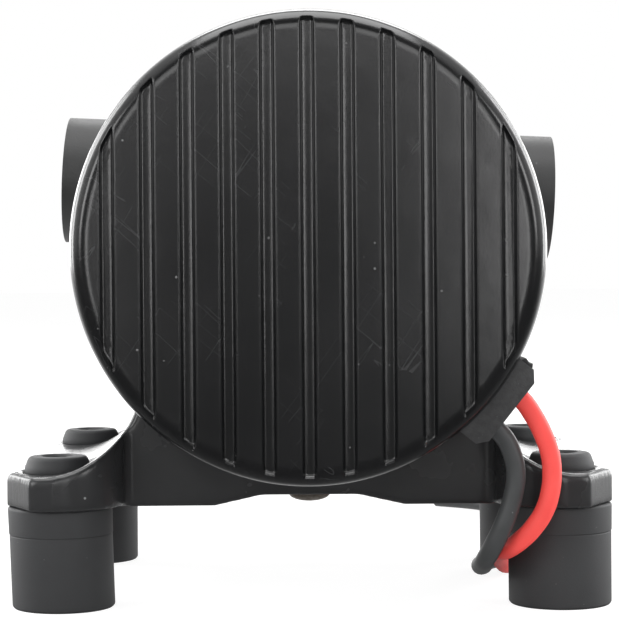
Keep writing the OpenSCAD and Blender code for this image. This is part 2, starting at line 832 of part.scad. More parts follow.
module outlet_valve() {
    floor_y = valve_y + chamber_depth;
    dome_r = 2.4;
    color("#232326") {
        ring_on_axis(head_y, valve_disc_t, outlet_valve_r);
        ring_on_axis(head_y + valve_disc_t, valve_disc_t, dome_r);
        ring_on_axis(floor_y, head_y - floor_y, valve_stem_r);
    }
}

module valve_seal() {
    color("#1c1c1e") ring_on_axis(head_y - seal_t, seal_t, seal_r, seal_r - seal_w);
}

// One port along X, from a place inside the head out to its end
module port_bar(side, from, to, r) {
    translate([side * from, port_y, axis_h + port_rise]) rotate([0, side * 90, 0])
        cylinder(h = to - from, r = r, $fn = fine);
}

module pump_head() {
    port_x = port_span / 2;
    body_bore = head_body_r - head_wall;
    boss_round = 2;
    passage_r = 2;
    color("#2a2c2e") rolled() difference() {
        union() {
            difference() {
                union() {
                    ring_on_axis(head_y, head_flange_t, housing_r);
                    on_axis(head_y) rotate_extrude($fn = fine) polygon([
                        [0, 0], [head_body_r, 0], [head_body_r, head_len - 2 * boss_round],
                        [head_body_r - boss_round, head_len - boss_round / 2],
                        [head_body_r - 2 * boss_round, head_len], [0, head_len]]);
                    slab(boss_y - cut, boss_len + cut)
                        round_rect(switch_w, switch_h, switch_round);
                    at_angles(screw_angles)
                        bar_above(screw_ring, head_y, head_flange_t + screw_boss_t, screw_boss_r);
                    for (side = [-1, 1]) {
                        port_bar(side, 0, port_x, port_r);
                        port_bar(side, port_x - port_lip_t, port_x - port_lip, port_r);
                    }
                }
                // Inlet space round the middle, open towards the valve plate
                ring_on_axis(head_y - cut, head_len - head_wall + cut, body_bore, center_r + center_wall);
            }
            // Duct from the outlet port to the middle of the head
            intersection() {
                port_bar(1, 0, port_x, duct_r + duct_wall);
                ring_on_axis(head_y, head_len, head_body_r);
            }
            translate([0, port_y, axis_h]) cylinder(h = port_rise, r = duct_r + duct_wall, $fn = fine);
        }
        ring_on_axis(head_y - cut, head_len - head_wall + cut, center_r);
        for (side = [-1, 1]) {
            port_bar(side, port_x - socket_len, port_x + cut, socket_d / 2);
            port_bar(side, side < 0 ? center_r : 0, port_x - socket_len + cut, duct_r);
        }
        translate([0, port_y, axis_h]) cylinder(h = port_rise, r = duct_r, $fn = fine);
        // Pressure passage and pocket under the switch's diaphragm
        ring_on_axis(head_front_y - head_wall - cut, head_wall + boss_len + 2 * cut, passage_r);
        ring_on_axis(sensor_y - sensor_pocket, sensor_pocket + cut, sensor_r - sensor_lap);
        switch_screw_holes(switch_y - switch_screw_bite, switch_screw_bite + cut);
        at_angles(screw_angles)
            bar_above(screw_ring, head_y - cut, head_flange_t + screw_boss_t + 2 * cut,
                head_screw_r + seat_gap);
    }
}

module head_screws() {
    seat = head_y + head_flange_t + screw_boss_t;
    start = housing_front_y - screw_bite;
    slot_w = 0.9;
    color("#b4b7b9") rolled() at_angles(screw_angles) difference() {
        union() {
            bar_above(screw_ring, start, seat - start, head_screw_r);
            bar_above(screw_ring, seat, screw_cap_t, screw_cap_r);
        }
        for (turn = [0, 90])
            translate([0, seat + screw_cap_t / 2, axis_h + screw_ring]) rotate([0, turn, 0])
                translate([-screw_cap_r / 2, 0, -slot_w / 2])
                    cube([screw_cap_r, screw_cap_t, slot_w]);
    }
}

module switch_diaphragm() {
    color("#1c1c1e") ring_on_axis(sensor_y, sensor_t, sensor_r);
}

module switch_base() {
    guide_gap = 1;
    guide_r = plunger_flange_r + guide_gap;
    color("#222426") rolled() difference() {
        slab(switch_y, switch_base_t) round_rect(switch_w, switch_h, switch_round);
        ring_on_axis(switch_y - cut, sensor_t + cut, sensor_r + seat_gap);
        ring_on_axis(switch_y, switch_base_t + cut, guide_r);
        switch_screw_holes(switch_y - cut, switch_base_t + 2 * cut);
        // Seat of the micro switch
        translate([micro_x - micro_w / 2 - seat_gap, micro_y, axis_h - micro_h / 2 - seat_gap])
            cube([micro_w + 2 * seat_gap, micro_t, micro_h + 2 * seat_gap]);
    }
}

module switch_screw_holes(y, length) {
    for (side = [-1, 1])
        translate([side * switch_screw_x, 0, side * switch_screw_z])
            bar_above(0, y, length, switch_screw_r + seat_gap);
}

module switch_plunger() {
    stem_len = 3;
    color("#d8d6cf") {
        ring_on_axis(plunger_y, plunger_flange_t, plunger_flange_r);
        ring_on_axis(plunger_y + plunger_flange_t, stem_len, plunger_r);
    }
}

module switch_spring() {
    start = plunger_y + plunger_flange_t;
    color("#a9acae") on_axis(start)
        coil_spring(spring_r, spring_wire, spring_turns, adjuster_y - adjuster_seat_t - start);
}

module micro_switch() {
    color("#1d1f21") rolled() difference() {
        translate([micro_x - micro_w / 2, micro_y, axis_h - micro_h / 2])
            cube([micro_w, micro_t, micro_h]);
        button_bar(micro_y - cut, 2 * plunger_travel + cut, button_r + seat_gap);
    }
}

// A bar along the micro switch's button, which stands on the plunger's flange
module button_bar(y, length, r) {
    translate([plunger_flange_r - 1.5 * button_r, 0, 0]) bar_above(0, y, length, r);
}

module switch_button() {
    y = plunger_y + plunger_flange_t;
    color("#b5382c") rolled() button_bar(y, micro_y - y, button_r);
}

module switch_terminals() {
    y = blade_y;
    root = (switch_h - micro_h) / 2;
    color("#c9b26a") rolled() for (side = [-1, 1])
        translate([side * blade_x - blade_w / 2, y - blade_t / 2,
                   axis_h - switch_h / 2 - blade_len])
            cube([blade_w, blade_t, blade_len + root]);
}

module switch_cover() {
    hollow_w = switch_w - 2 * switch_wall;
    hollow_h = switch_h - 2 * switch_wall;
    pillar_wall = 1.9;
    pillar_r = switch_screw_r + pillar_wall;
    edge = 1.5;
    color("#222426") rolled() difference() {
        union() {
            difference() {
                union() {
                    slab(cover_seat_y, switch_cover_t - edge)
                        round_rect(switch_w, switch_h, switch_round);
                    slab(switch_end_y - edge - cut, edge + cut)
                        round_rect(switch_w - 2 * edge, switch_h - 2 * edge, switch_round - edge);
                }
                slab(cover_seat_y - cut, switch_cover_t - switch_wall + cut)
                    round_rect(hollow_w, hollow_h, switch_round - switch_wall);
            }
            for (side = [-1, 1])
                translate([side * switch_screw_x, 0, side * switch_screw_z])
                    bar_above(0, cover_seat_y, switch_cover_t - switch_wall, pillar_r);
            ring_on_axis(adjuster_y + run_gap, switch_end_y - adjuster_y - run_gap,
                adjuster_seat_r + switch_wall);
        }
        ring_on_axis(adjuster_y - cut, switch_end_y - adjuster_y + 2 * cut, adjuster_r + run_gap);
        ring_on_axis(switch_end_y - adjuster_recess, adjuster_recess + cut,
            adjuster_r + adjuster_recess);
        switch_screw_holes(cover_seat_y - cut, switch_cover_t + 2 * cut);
        for (side = [-1, 1])
            translate([side * blade_x - blade_w / 2 - seat_gap,
                       blade_y - blade_t / 2 - seat_gap,
                       axis_h - switch_h / 2 - cut])
                cube([blade_w + 2 * seat_gap, blade_t + 2 * seat_gap, switch_wall + 2 * cut]);
    }
}

module switch_screws() {
    slot_w = 0.9;
    color("#b4b7b9") rolled() for (side = [-1, 1])
        translate([side * switch_screw_x, 0, side * switch_screw_z]) difference() {
            union() {
                bar_above(0, switch_y - switch_screw_bite,
                    switch_end_y - switch_y + switch_screw_bite, switch_screw_r);
                bar_above(0, switch_end_y, switch_cap_t, switch_cap_r);
            }
            translate([-switch_cap_r, switch_end_y + switch_cap_t / 2, axis_h - slot_w / 2])
                cube([2 * switch_cap_r, switch_cap_t, slot_w]);
        }
}

module adjusting_screw() {
    color("#c9b26a") difference() {
        union() {
            ring_on_axis(adjuster_y - cut, switch_end_y - adjuster_y - free_gap + cut, adjuster_r);
            ring_on_axis(adjuster_y - adjuster_seat_t, adjuster_seat_t, adjuster_seat_r);
        }
        translate([-adjuster_r - cut, switch_end_y - 2 * adjuster_recess, axis_h - adjuster_slot / 2])
            cube([2 * adjuster_r + 2 * cut, 2 * adjuster_recess, adjuster_slot]);
    }
}

// Holes of the two screws that hold the motor on the saddle
module base_screw_holes(r) {
    for (end = [-1, 1])
        translate([0, end * (hole_span_y / 2 - base_screw_inset), 0])
            cylinder(h = axis_h - magnet_r, r = r, $fn = small);
}

module base_screws() {
    seat = axis_h - cover_r - saddle_t;
    tip = axis_h - can_bore + base_screw_bite;
    color("#7d776d") for (end = [-1, 1])
        translate([0, end * (hole_span_y / 2 - base_screw_inset), 0]) {
            translate([0, 0, seat]) cylinder(h = tip - seat, r = base_screw_r, $fn = small);
            // Low domed head
            translate([0, 0, seat]) mirror([0, 0, 1]) rotate_extrude($fn = small) polygon([
                [0, 0], [base_screw_head_r, 0],
                for (a = [0 : 15 : 75])
                    [base_screw_head_r * cos(a), base_screw_head_t * (0.3 + 0.7 * sin(a))],
                [0, base_screw_head_t]]);
        }
}

function mirrored(p, sx, sy) = [for (q = p) [sx * q[0], sy * q[1]]];
function reversed(p) = [for (i = [len(p) - 1 : -1 : 0]) p[i]];

// One corner of the bracket's plan: side face, chamfer and the round lobe at the foot
function plan_corner() = let (x = hole_span_x / 2, y = hole_span_y / 2, side = x + ear_reach,
    front = y + ear_round) concat(
        [[side, front - ear_chamfer_y], [side - ear_chamfer_x, front - ear_chamfer_rise]],
        [for (a = [90 : 5 : 170]) [x + ear_round * cos(a), y + ear_round * sin(a)]],
        [for (a = [0 : 30 : 90])
            [x - ear_round - web_fillet * (1 - cos(a)), y + web_fillet * (1 - sin(a))]]);

module bracket_plan() {
    corner = plan_corner();
    polygon(concat(corner, reversed(mirrored(corner, -1, 1)), mirrored(corner, -1, -1),
        reversed(mirrored(corner, 1, -1))));
}

// Height of the bracket's underside, at the ears' or lower where the cover comes down to it
function under(x) = min(foot_h, axis_h - sqrt(pow(cover_r + saddle_t, 2) - x * x));

// Right half of the bracket's outline across the motor, with zero at the floor
function half_section() = let (top = foot_h + ear_t, x = hole_span_x / 2,
    start = x + sweep_start, low = axis_h - cover_r - saddle_t) concat(
        [[belly_w / 2, low], [belly_w, under(belly_w)]],
        [for (q = [belly_w + rib_t : rib_t : x - ear_round]) if (under(q) < foot_h) [q, under(q)]],
        [[x - ear_round, foot_h], [x + ear_reach, foot_h], [x + ear_reach, top]],
        [for (a = [-90 : -4 : -162])
            [start + sweep_r * cos(a), top + sweep_r * (1 + sin(a))]],
        [[start - sweep_r, axis_h]]);

module bracket_section() {
    half = half_section();
    polygon(concat(half, reversed(mirrored(half, -1, 1))));
}

// The hole of a foot's neck, drawn out towards the ear's side
module ear_slot(sx, sy) {
    x = hole_span_x / 2;
    r = foot_neck_d / 2 + ear_slot_gap;
    translate([sx * x, sy * hole_span_y / 2, foot_h - cut]) {
        cylinder(h = ear_t + 2 * cut + sweep_r, r = r, $fn = small);
        translate([sx * ear_slot_shift, 0, 0])
            cylinder(h = ear_t + 2 * cut + sweep_r, r = r, $fn = small);
        translate([min(0, sx * ear_slot_shift), -r, 0])
            cube([ear_slot_shift, 2 * r, ear_t + 2 * cut + sweep_r]);
    }
    translate([sx * x, sy * hole_span_y / 2, foot_h + ear_t - spot_t])
        cylinder(h = sweep_r, r = spot_r, $fn = small);
}

// Pockets cored from below, between the raised middle and each ear
module saddle_pockets() {
    inner = belly_w + rib_t / 2;
    outer = hole_span_x / 2 - ear_round - rib_t / 2;
    count = 3;
    run = (hole_span_y - (count + 1) * rib_t) / count;
    roof = axis_h - sqrt(cover_r * cover_r - inner * inner) - saddle_t;
    for (side = [-1, 1], i = [0 : count - 1])
        translate([side * (inner + outer) / 2,
                   -hole_span_y / 2 + rib_t + i * (run + rib_t) + run / 2, 0])
            linear_extrude(roof) square([outer - inner, run], center = true);
}

module base_bracket() {
    span_y = hole_span_y + 2 * ear_round;
    color("#1f2123") difference() {
        intersection() {
            translate([0, span_y / 2, 0]) rotate([90, 0, 0]) linear_extrude(span_y)
                bracket_section();
            linear_extrude(axis_h) bracket_plan();
        }
        ring_on_axis(-span_y, 2 * span_y, cover_r + seat_gap);
        saddle_pockets();
        for (sx = [-1, 1], sy = [-1, 1]) ear_slot(sx, sy);
        base_screw_holes(base_screw_r + seat_gap);
    }
}

// A rubber foot: round pad under the ear, neck in the slot and cap above it
module rubber_foot(sx, sy) {
    seam = foot_h * foot_seam_share;
    low = foot_h - seam;
    seat = foot_h + ear_t - spot_t;
    top = seat + cap_h;
    bore = mount_hole_d / 2;
    slim_r = foot_r - foot_slim;
    color("#1b1c1d") translate([sx * hole_span_x / 2, sy * hole_span_y / 2, 0])
        rotate_extrude($fn = 64) polygon([
            [bore, 0], [slim_r - foot_edge, 0], [slim_r, foot_edge], [slim_r, low - foot_seam],
            [slim_r - foot_seam, low], [foot_r, low + foot_seam],
            [foot_r, foot_h - foot_seam], [foot_r - foot_seam, foot_h],
            [foot_neck_d / 2, foot_h], [foot_neck_d / 2, seat], [cap_d / 2, seat],
            [cap_d / 2, seat + cap_ring_t], [cap_d / 2 - cap_taper, top - cap_ring_t],
            [cap_d / 2 - cap_taper - cap_ring_t, top], [bore, top]]);
}

module foot_rear_left() { rubber_foot(-1, -1); }
module foot_rear_right() { rubber_foot(1, -1); }
module foot_front_left() { rubber_foot(-1, 1); }
module foot_front_right() { rubber_foot(1, 1); }

// Places a shape on the cover's wall at the gland: X along the wall, Y outwards from the axis
module gland_place() {
    translate([0, gland_y, axis_h]) rotate([-90, 0, 0]) rotate(gland_angle - 90) children();
}

// The holes of the two leads, through the gland and the walls behind it
module lead_holes() {
    gland_place() for (t = [black_t, red_t])
        translate([t, magnet_r, gland_len / 2]) rotate([-90, 0, 0])
            cylinder(h = cover_r, r = lead_r + seat_gap, $fn = small);
}

module gland_body() {
    low = cover_r + gland_low;
    high = cover_r + gland_high;
    color("#202123") difference() {
        gland_place() linear_extrude(gland_len) polygon([
            [-gland_left, cover_r - gland_sink], [-gland_left, low],
            [-gland_left + gland_bevel, high], [gland_right - gland_bevel, high],
            [gland_right, low], [gland_right, cover_r - gland_sink]]);
        ring_on_axis(cover_y - cut, cover_len, cover_r + seat_gap);
        lead_holes();
    }
}

module gland_clip() {
    low = cover_r + gland_low;
    color("#202123") gland_place() translate([0, 0, gland_len * 0.2])
        linear_extrude(gland_len * 0.6) polygon([
            [gland_right + seat_gap, low - clip_w], [gland_right + clip_t, low - clip_w * 0.8],
            [gland_right + clip_t * 0.6, low - clip_w * 0.4],
            [gland_right + clip_t, low - clip_w * 0.2], [gland_right + seat_gap, low]]);
}

module red_lead() {
    color("#c8302f") swept_tube(red_route, lead_r, lead_sides);
}

module black_lead() {
    color("#232426") swept_tube(black_route, lead_r, lead_sides);
}

// Insulated push-on connector of the red lead, on a blade of the switch
module lead_plug() {
    top = axis_h - switch_h / 2 - free_gap;
    color("#b3302d") rolled() difference() {
        translate([blade_x, blade_y, top - plug_len]) linear_extrude(plug_len)
            round_rect(plug_w, plug_t, plug_t * 0.3);
        translate([blade_x - blade_w / 2 - seat_gap, blade_y - blade_t / 2 - seat_gap,
                   top - blade_len - seat_gap])
            cube([blade_w + 2 * seat_gap, blade_t + 2 * seat_gap, blade_len + cut]);
        translate([blade_x, blade_y, top - plug_len - cut])
            cylinder(h = plug_len - blade_len - 2 * seat_gap, r = lead_r + seat_gap, $fn = small);
    }
}

// Tinned strands at the free end of the black lead
module lead_end() {
    last = len(black_route) - 1;
    color("#b9bcbe") swept_tube([black_route[last],
        black_route[last] + bare_end_len * heading(black_route, last)], bare_end_r, lead_sides);
}

motor_cover();
motor_can();
magnets();
motor_shaft();
armature_core();
windings();
commutator();
rear_bearing();
front_bearing();
wave_washer();
brush_holder();
brushes();
brush_springs();
motor_end_plate();
through_bolts();
drive_housing();
cam();
cam_bearing();
wobble_plate();
pistons();
piston_screws();
diaphragm();
valve_plate();
inlet_valves();
outlet_valve();
valve_seal();
pump_head();
head_screws();
switch_diaphragm();
switch_base();
switch_plunger();
switch_spring();
micro_switch();
switch_button();
switch_terminals();
switch_cover();
switch_screws();
adjusting_screw();
base_bracket();
foot_rear_left();
foot_rear_right();
foot_front_left();
foot_front_right();
base_screws();
gland_body();
gland_clip();
red_lead();
black_lead();
lead_plug();
lead_end();
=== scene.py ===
import json
from math import hypot, pi, radians

import bmesh
import bpy
import numpy as np
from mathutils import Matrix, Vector

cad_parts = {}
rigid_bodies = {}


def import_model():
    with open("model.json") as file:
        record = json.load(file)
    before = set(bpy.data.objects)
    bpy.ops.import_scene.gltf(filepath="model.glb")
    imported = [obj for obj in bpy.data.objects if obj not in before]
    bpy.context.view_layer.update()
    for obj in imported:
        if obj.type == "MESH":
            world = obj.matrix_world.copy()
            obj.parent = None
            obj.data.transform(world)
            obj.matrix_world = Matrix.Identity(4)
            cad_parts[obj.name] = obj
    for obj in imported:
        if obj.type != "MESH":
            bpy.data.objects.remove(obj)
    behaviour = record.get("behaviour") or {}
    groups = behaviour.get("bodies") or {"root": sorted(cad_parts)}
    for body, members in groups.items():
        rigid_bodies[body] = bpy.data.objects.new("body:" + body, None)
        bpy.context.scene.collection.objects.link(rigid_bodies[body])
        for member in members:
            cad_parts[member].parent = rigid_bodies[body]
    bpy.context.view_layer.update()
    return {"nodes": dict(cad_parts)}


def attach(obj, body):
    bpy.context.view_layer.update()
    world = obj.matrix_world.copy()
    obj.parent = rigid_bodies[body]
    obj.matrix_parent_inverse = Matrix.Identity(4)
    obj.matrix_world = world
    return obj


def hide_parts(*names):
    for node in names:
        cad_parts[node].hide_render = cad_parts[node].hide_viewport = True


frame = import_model()
print("model loaded:", len(frame["nodes"]), "nodes")

mm = 0.001
motorAxis = 0.0684    # height of the motor's axis above the floor


# the camera

camera = {
    "place": (-0.0015, -0.432, 0.06615),
    "roll": 0.45,
    "lens": 120.97,
    "sensor": 36,
    "shift": (0.01535, -0.08),
    "clip": (0.01, 20),
}


def setCamera():
    bpy.ops.object.camera_add(location=camera["place"], rotation=(radians(90), radians(camera["roll"]), 0))
    eye = bpy.context.active_object
    eye.name = "camera"
    eye.data.lens = camera["lens"]
    eye.data.sensor_width = camera["sensor"]
    eye.data.shift_x, eye.data.shift_y = camera["shift"]
    eye.data.clip_start, eye.data.clip_end = camera["clip"]
    bpy.context.scene.camera = eye


setCamera()
print("camera set")


# small helpers

meshing = {
    "weldGap": 0.01 * mm,    # points closer than this are joined
    "smooth": 32,            # a fold of fewer degrees than this is shaded smooth
    "flat": 0.6,             # faces that fold by less than this are joined
    "sharp": 30,             # a fold of more than this is rounded
    "edgeSteps": 2,
    "cornerSteps": 4,
    "cornerReach": 0.49,     # the largest share of a side that a rounded corner takes up
}


def deselectAll():
    if bpy.context.mode != "OBJECT":
        bpy.ops.object.mode_set(mode="OBJECT")
    bpy.ops.object.select_all(action="DESELECT")


def pick(piece):
    deselectAll()
    piece.select_set(True)
    bpy.context.view_layer.objects.active = piece


def applyModifiers(piece):
    pick(piece)
    for modifier in list(piece.modifiers):
        bpy.ops.object.modifier_apply(modifier=modifier.name)


def smoothByAngle(piece, angle=meshing["smooth"]):
    pick(piece)
    bpy.ops.object.shade_smooth_by_angle(angle=radians(angle), keep_sharp_edges=False)


def tidyMesh(piece, gap=meshing["weldGap"]):
    # joins doubles and turns all faces outwards
    pick(piece)
    bpy.ops.object.mode_set(mode="EDIT")
    bpy.ops.mesh.select_all(action="SELECT")
    bpy.ops.mesh.remove_doubles(threshold=gap)
    bpy.ops.mesh.normals_make_consistent(inside=False)
    bpy.ops.object.mode_set(mode="OBJECT")


def finishPiece(piece, body, slotName, material, *nodes):
    piece.data.materials.clear()
    piece.data.materials.append(material)
    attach(piece, body)
    if nodes:
        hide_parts(*nodes)


def roundCorners(corners):
    # (r, z, radius) corners of a turned profile, each rounded by its own radius
    points = []
    steps, most = meshing["cornerSteps"], meshing["cornerReach"]
    for i, (r, z, radius) in enumerate(corners):
        here = Vector((r, z))
        if radius <= 0 or i in (0, len(corners) - 1):
            points.append(here)
            continue
        back = Vector(corners[i - 1][:2]) - here
        ahead = Vector(corners[i + 1][:2]) - here
        reach = min(radius, back.length * most, ahead.length * most)
        start, end = here + back.normalized() * reach, here + ahead.normalized() * reach
        for k in range(steps + 1):
            t = k / steps
            points.append(start * (1 - t) ** 2 + here * 2 * t * (1 - t) + end * t ** 2)
    return points


def spinProfile(name, points, centre, steps):
    # a profile of (r, z) points spun round an upright axis through centre
    mesh = bpy.data.meshes.new(name)
    places = [Vector(centre) + Vector((r, 0, z)) for r, z in points]
    mesh.from_pydata(places, [(i, i + 1) for i in range(len(places) - 1)], [])
    piece = bpy.data.objects.new(name, mesh)
    bpy.context.scene.collection.objects.link(piece)
    pick(piece)
    bpy.ops.object.mode_set(mode="EDIT")
    bpy.ops.mesh.select_all(action="SELECT")
    bpy.ops.mesh.spin(steps=steps, angle=2 * pi, center=centre, axis=(0, 0, 1))
    bpy.ops.object.mode_set(mode="OBJECT")
    tidyMesh(piece)
    return piece


def roundedCopy(nodeName, pieceName, width):
    # a copy of a modelled node with its faces joined and, given a width, its edges rounded
    source = frame["nodes"][nodeName]
    pick(source)
    bpy.ops.object.duplicate()
    piece = bpy.context.active_object
    piece.name = pieceName
    piece.data.name = pieceName
    bpy.ops.object.parent_clear(type="CLEAR_KEEP_TRANSFORM")
    # the copy isn't a node of the model, and gets normals of its own
    for key in [k for k in piece.keys() if k.startswith("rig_")]:
        del piece[key]
    normals = piece.data.attributes.get("custom_normal")
    if normals:
        piece.data.attributes.remove(normals)
    tidyMesh(piece)
    bpy.ops.object.mode_set(mode="EDIT")
    bpy.ops.mesh.select_all(action="SELECT")
    bpy.ops.mesh.dissolve_limited(angle_limit=radians(meshing["flat"]))
    bpy.ops.object.mode_set(mode="OBJECT")
    if width:
        bevel = piece.modifiers.new("edges", "BEVEL")
        bevel.width = width
        bevel.segments = meshing["edgeSteps"]
        bevel.limit_method = "ANGLE"
        bevel.angle_limit = radians(meshing["sharp"])
        applyModifiers(piece)
    smoothByAngle(piece)
    return piece


# the two leads

leads = {
    "radius": 1.8 * mm,
    "roundSteps": 7,
    "alongSteps": 8,
    # each route runs from the gland to the far end
    "redRoute": [
        (37.6, -48, 41.4), (39.4, -48, 39.9), (41.3, -48, 37.2), (43.1, -48, 33.7), (44.4, -48, 29.9),
        (44.7, -48, 26.4), (44.4, -48, 23.2), (43.3, -47.9, 19.6), (41.2, -47.2, 16.2), (39, -45.7, 13.7),
        (37.2, -42.8, 11.9), (36, -38.6, 10.9), (35.7, -32.5, 10.1), (36.2, -25.8, 8.9), (37.2, -18.5, 7.3),
        (38.6, -10.5, 5.6), (39.9, -2.8, 3.4), (41.8, 5, 1.9), (45.6, 10.8, 1.9), (51.6, 13.6, 1.9),
        (57.8, 16, 1.9), (62.2, 20.6, 1.9), (64.2, 27, 1.9), (64.6, 35, 1.9), (64.6, 44, 1.9),
        (64.4, 53, 1.9), (64, 63, 1.9), (63.4, 73, 1.9), (62.4, 83, 1.9), (60.8, 93, 1.9),
        (58.4, 103, 1.9), (55, 112.6, 1.9), (50.2, 121.6, 1.9), (44.2, 129.6, 1.9), (36.8, 136.2, 1.9),
        (28.4, 139.6, 3.2), (20.6, 139.6, 7), (14.1, 137.8, 12.6), (10.4, 136.2, 19.4), (8.6, 135.2, 26.6),
        (8.9, 135, 34)],
    "blackRoute": [
        (33.1, -48, 35.8), (34.9, -48, 34.3), (36.4, -48, 32.4), (37.4, -48, 30.1), (38, -48, 27.4),
        (38, -48, 25), (37.5, -48, 22.3), (36.6, -48, 19.3), (35.2, -47.8, 15.9), (33.8, -46.7, 12.8),
        (32.9, -44, 10.4), (32.7, -39.8, 8.8), (32.8, -34.6, 7.6), (33.1, -28, 6.6), (34, -19, 5.2),
        (35.1, -10, 3.9), (36, -2, 2.8), (36.4, 5, 1.9), (39, 11.4, 1.9), (44.2, 16, 1.9),
        (50.6, 18, 1.9), (56.4, 20.8, 1.9), (59.6, 26.4, 1.9), (60.4, 33, 1.9), (60.7, 42, 1.9),
        (60.5, 52, 1.9), (60, 62, 1.9), (59, 72, 1.9), (57.6, 82, 1.9), (55.6, 92, 1.9),
        (52.4, 101.4, 1.9), (48, 110, 1.9), (42, 117.6, 1.9), (34.6, 123.6, 1.9)],
}


def leadCurve(name, route):
    curve = bpy.data.curves.new(name, "CURVE")
    curve.dimensions = "3D"
    curve.bevel_depth = leads["radius"]
    curve.bevel_resolution = leads["roundSteps"]
    curve.resolution_u = leads["alongSteps"]
    curve.use_fill_caps = True
    line = curve.splines.new("BEZIER")
    line.bezier_points.add(len(route) - 1)
    for point, place in zip(line.bezier_points, route):
        point.co = Vector(place) * mm
        point.handle_left_type = point.handle_right_type = "AUTO"
    piece = bpy.data.objects.new(name, curve)
    bpy.context.scene.collection.objects.link(piece)
    return piece


def routeLength(route):
    return sum((Vector(b) - Vector(a)).length for a, b in zip(route, route[1:])) * mm


redLead = leadCurve("redLead", leads["redRoute"])
blackLead = leadCurve("blackLead", leads["blackRoute"])
print("leads laid: red %.3f m, black %.3f m"
      % (routeLength(leads["redRoute"]), routeLength(leads["blackRoute"])))


# finishes

# what a finish doesn't set for itself; a pair named edge is where a pattern turns
patterns = {
    "patchScale": 60,
    "patchEdge": (0.35, 0.65),
    "smudgeScale": 45,
    "smudgeEdge": (0.3, 0.7),
    "stainScale": 220,
    "stainEdge": (0.4, 0.7),
    "brushScale": 900,
    "brushStretch": (1, 0.08, 1),
    "brushEdge": (0.3, 0.7),
    "specular": 0.5,
    "grainDepth": 0.2 * mm,
    "waveDepth": 1 * mm,
    "streakDepth": 0.4 * mm,
    "brushDepth": 0.1 * mm,
    "scratchRun": 0.04,       # how little a scratch's pattern changes along it
    "scratchBreak": 0.18,     # scale of the pattern that breaks the scratches up
    "scratchShare": 0.56,     # above this value of it a scratch shows
    "dustRough": 0.8,
    "plasticIor": 1.5,
}


def newMaterial(name):
    material = bpy.data.materials.new(name)
    material.use_nodes = True
    tree = material.node_tree
    return material, tree, tree.nodes["Principled BSDF"]


def addNode(tree, kind, **settings):
    node = tree.nodes.new(kind)
    for name, value in settings.items():
        node.inputs[name].default_value = value
    return node


def link(tree, source, target):
    tree.links.new(source, target)


def rampOf(tree, source, places, values):
    # runs from the first value to the second between the two places
    ramp = tree.nodes.new("ShaderNodeValToRGB")
    for element, place, value in zip(ramp.color_ramp.elements, places, values):
        element.position = place
        element.color = (value, value, value, 1)
    link(tree, source, ramp.inputs["Fac"])
    return ramp.outputs["Color"]


def mixOf(tree, factor, first, second):
    # inputs 6 and 7 are the two colours
    mix = tree.nodes.new("ShaderNodeMix")
    mix.data_type = "RGBA"
    link(tree, factor, mix.inputs["Factor"])
    for socket, value in ((mix.inputs[6], first), (mix.inputs[7], second)):
        if isinstance(value, bpy.types.NodeSocket):
            link(tree, value, socket)
        else:
            socket.default_value = (*value, 1)
    return mix.outputs[2]


def mathOf(tree, operation, first, second=0.5):
    node = tree.nodes.new("ShaderNodeMath")
    node.operation = operation
    node.inputs[2].default_value = 0.5    # only MULTIPLY_ADD reads this one
    for socket, value in ((node.inputs[0], first), (node.inputs[1], second)):
        if isinstance(value, bpy.types.NodeSocket):
            link(tree, value, socket)
        else:
            socket.default_value = value
    return node.outputs[0]


def noiseOf(tree, place, scale, detail, rough=0.55, stretch=(1, 1, 1)):
    if stretch != (1, 1, 1):
        mapping = tree.nodes.new("ShaderNodeMapping")
        mapping.inputs["Scale"].default_value = stretch
        link(tree, place, mapping.inputs["Vector"])
        place = mapping.outputs["Vector"]
    noise = addNode(tree, "ShaderNodeTexNoise", Scale=scale, Detail=detail, Roughness=rough)
    link(tree, place, noise.inputs["Vector"])
    return noise.outputs["Fac"]


def specksOf(tree, place, scale, size, share):
    # small round specks of dust, in a share of the pattern's cells
    cells = addNode(tree, "ShaderNodeTexVoronoi", Scale=scale, Randomness=1.0)
    link(tree, place, cells.inputs["Vector"])
    chosen = mathOf(tree, "LESS_THAN", cellValue(tree, cells), share)
    near = mathOf(tree, "LESS_THAN", cells.outputs["Distance"], size)
    return mathOf(tree, "MULTIPLY", chosen, near)


def cellValue(tree, cells):
    split = tree.nodes.new("ShaderNodeSeparateColor")
    link(tree, cells.outputs["Color"], split.inputs["Color"])
    return split.outputs["Red"]


def scratchesOf(tree, place, scale, turn, width):
    # thin straight scratches: a narrow band of a stretched noise, broken up by a coarse one
    turned = tree.nodes.new("ShaderNodeMapping")
    turned.inputs["Rotation"].default_value = turn
    link(tree, place, turned.inputs["Vector"])
    lines = noiseOf(tree, turned.outputs["Vector"], scale, detail=1.0, rough=0.3,
                    stretch=(1, 1, patterns["scratchRun"]))
    band = mathOf(tree, "LESS_THAN", mathOf(tree, "ABSOLUTE", mathOf(tree, "SUBTRACT", lines, 0.5)), width)
    broken = noiseOf(tree, place, scale * patterns["scratchBreak"], detail=2.0)
    return mathOf(tree, "MULTIPLY", band, mathOf(tree, "GREATER_THAN", broken, patterns["scratchShare"]))


def bumpOf(tree, height, strength, distance, normal=None):
    bump = addNode(tree, "ShaderNodeBump", Strength=strength, Distance=distance)
    link(tree, height, bump.inputs["Height"])
    if normal is not None:
        link(tree, normal, bump.inputs["Normal"])
    return bump.outputs["Normal"]


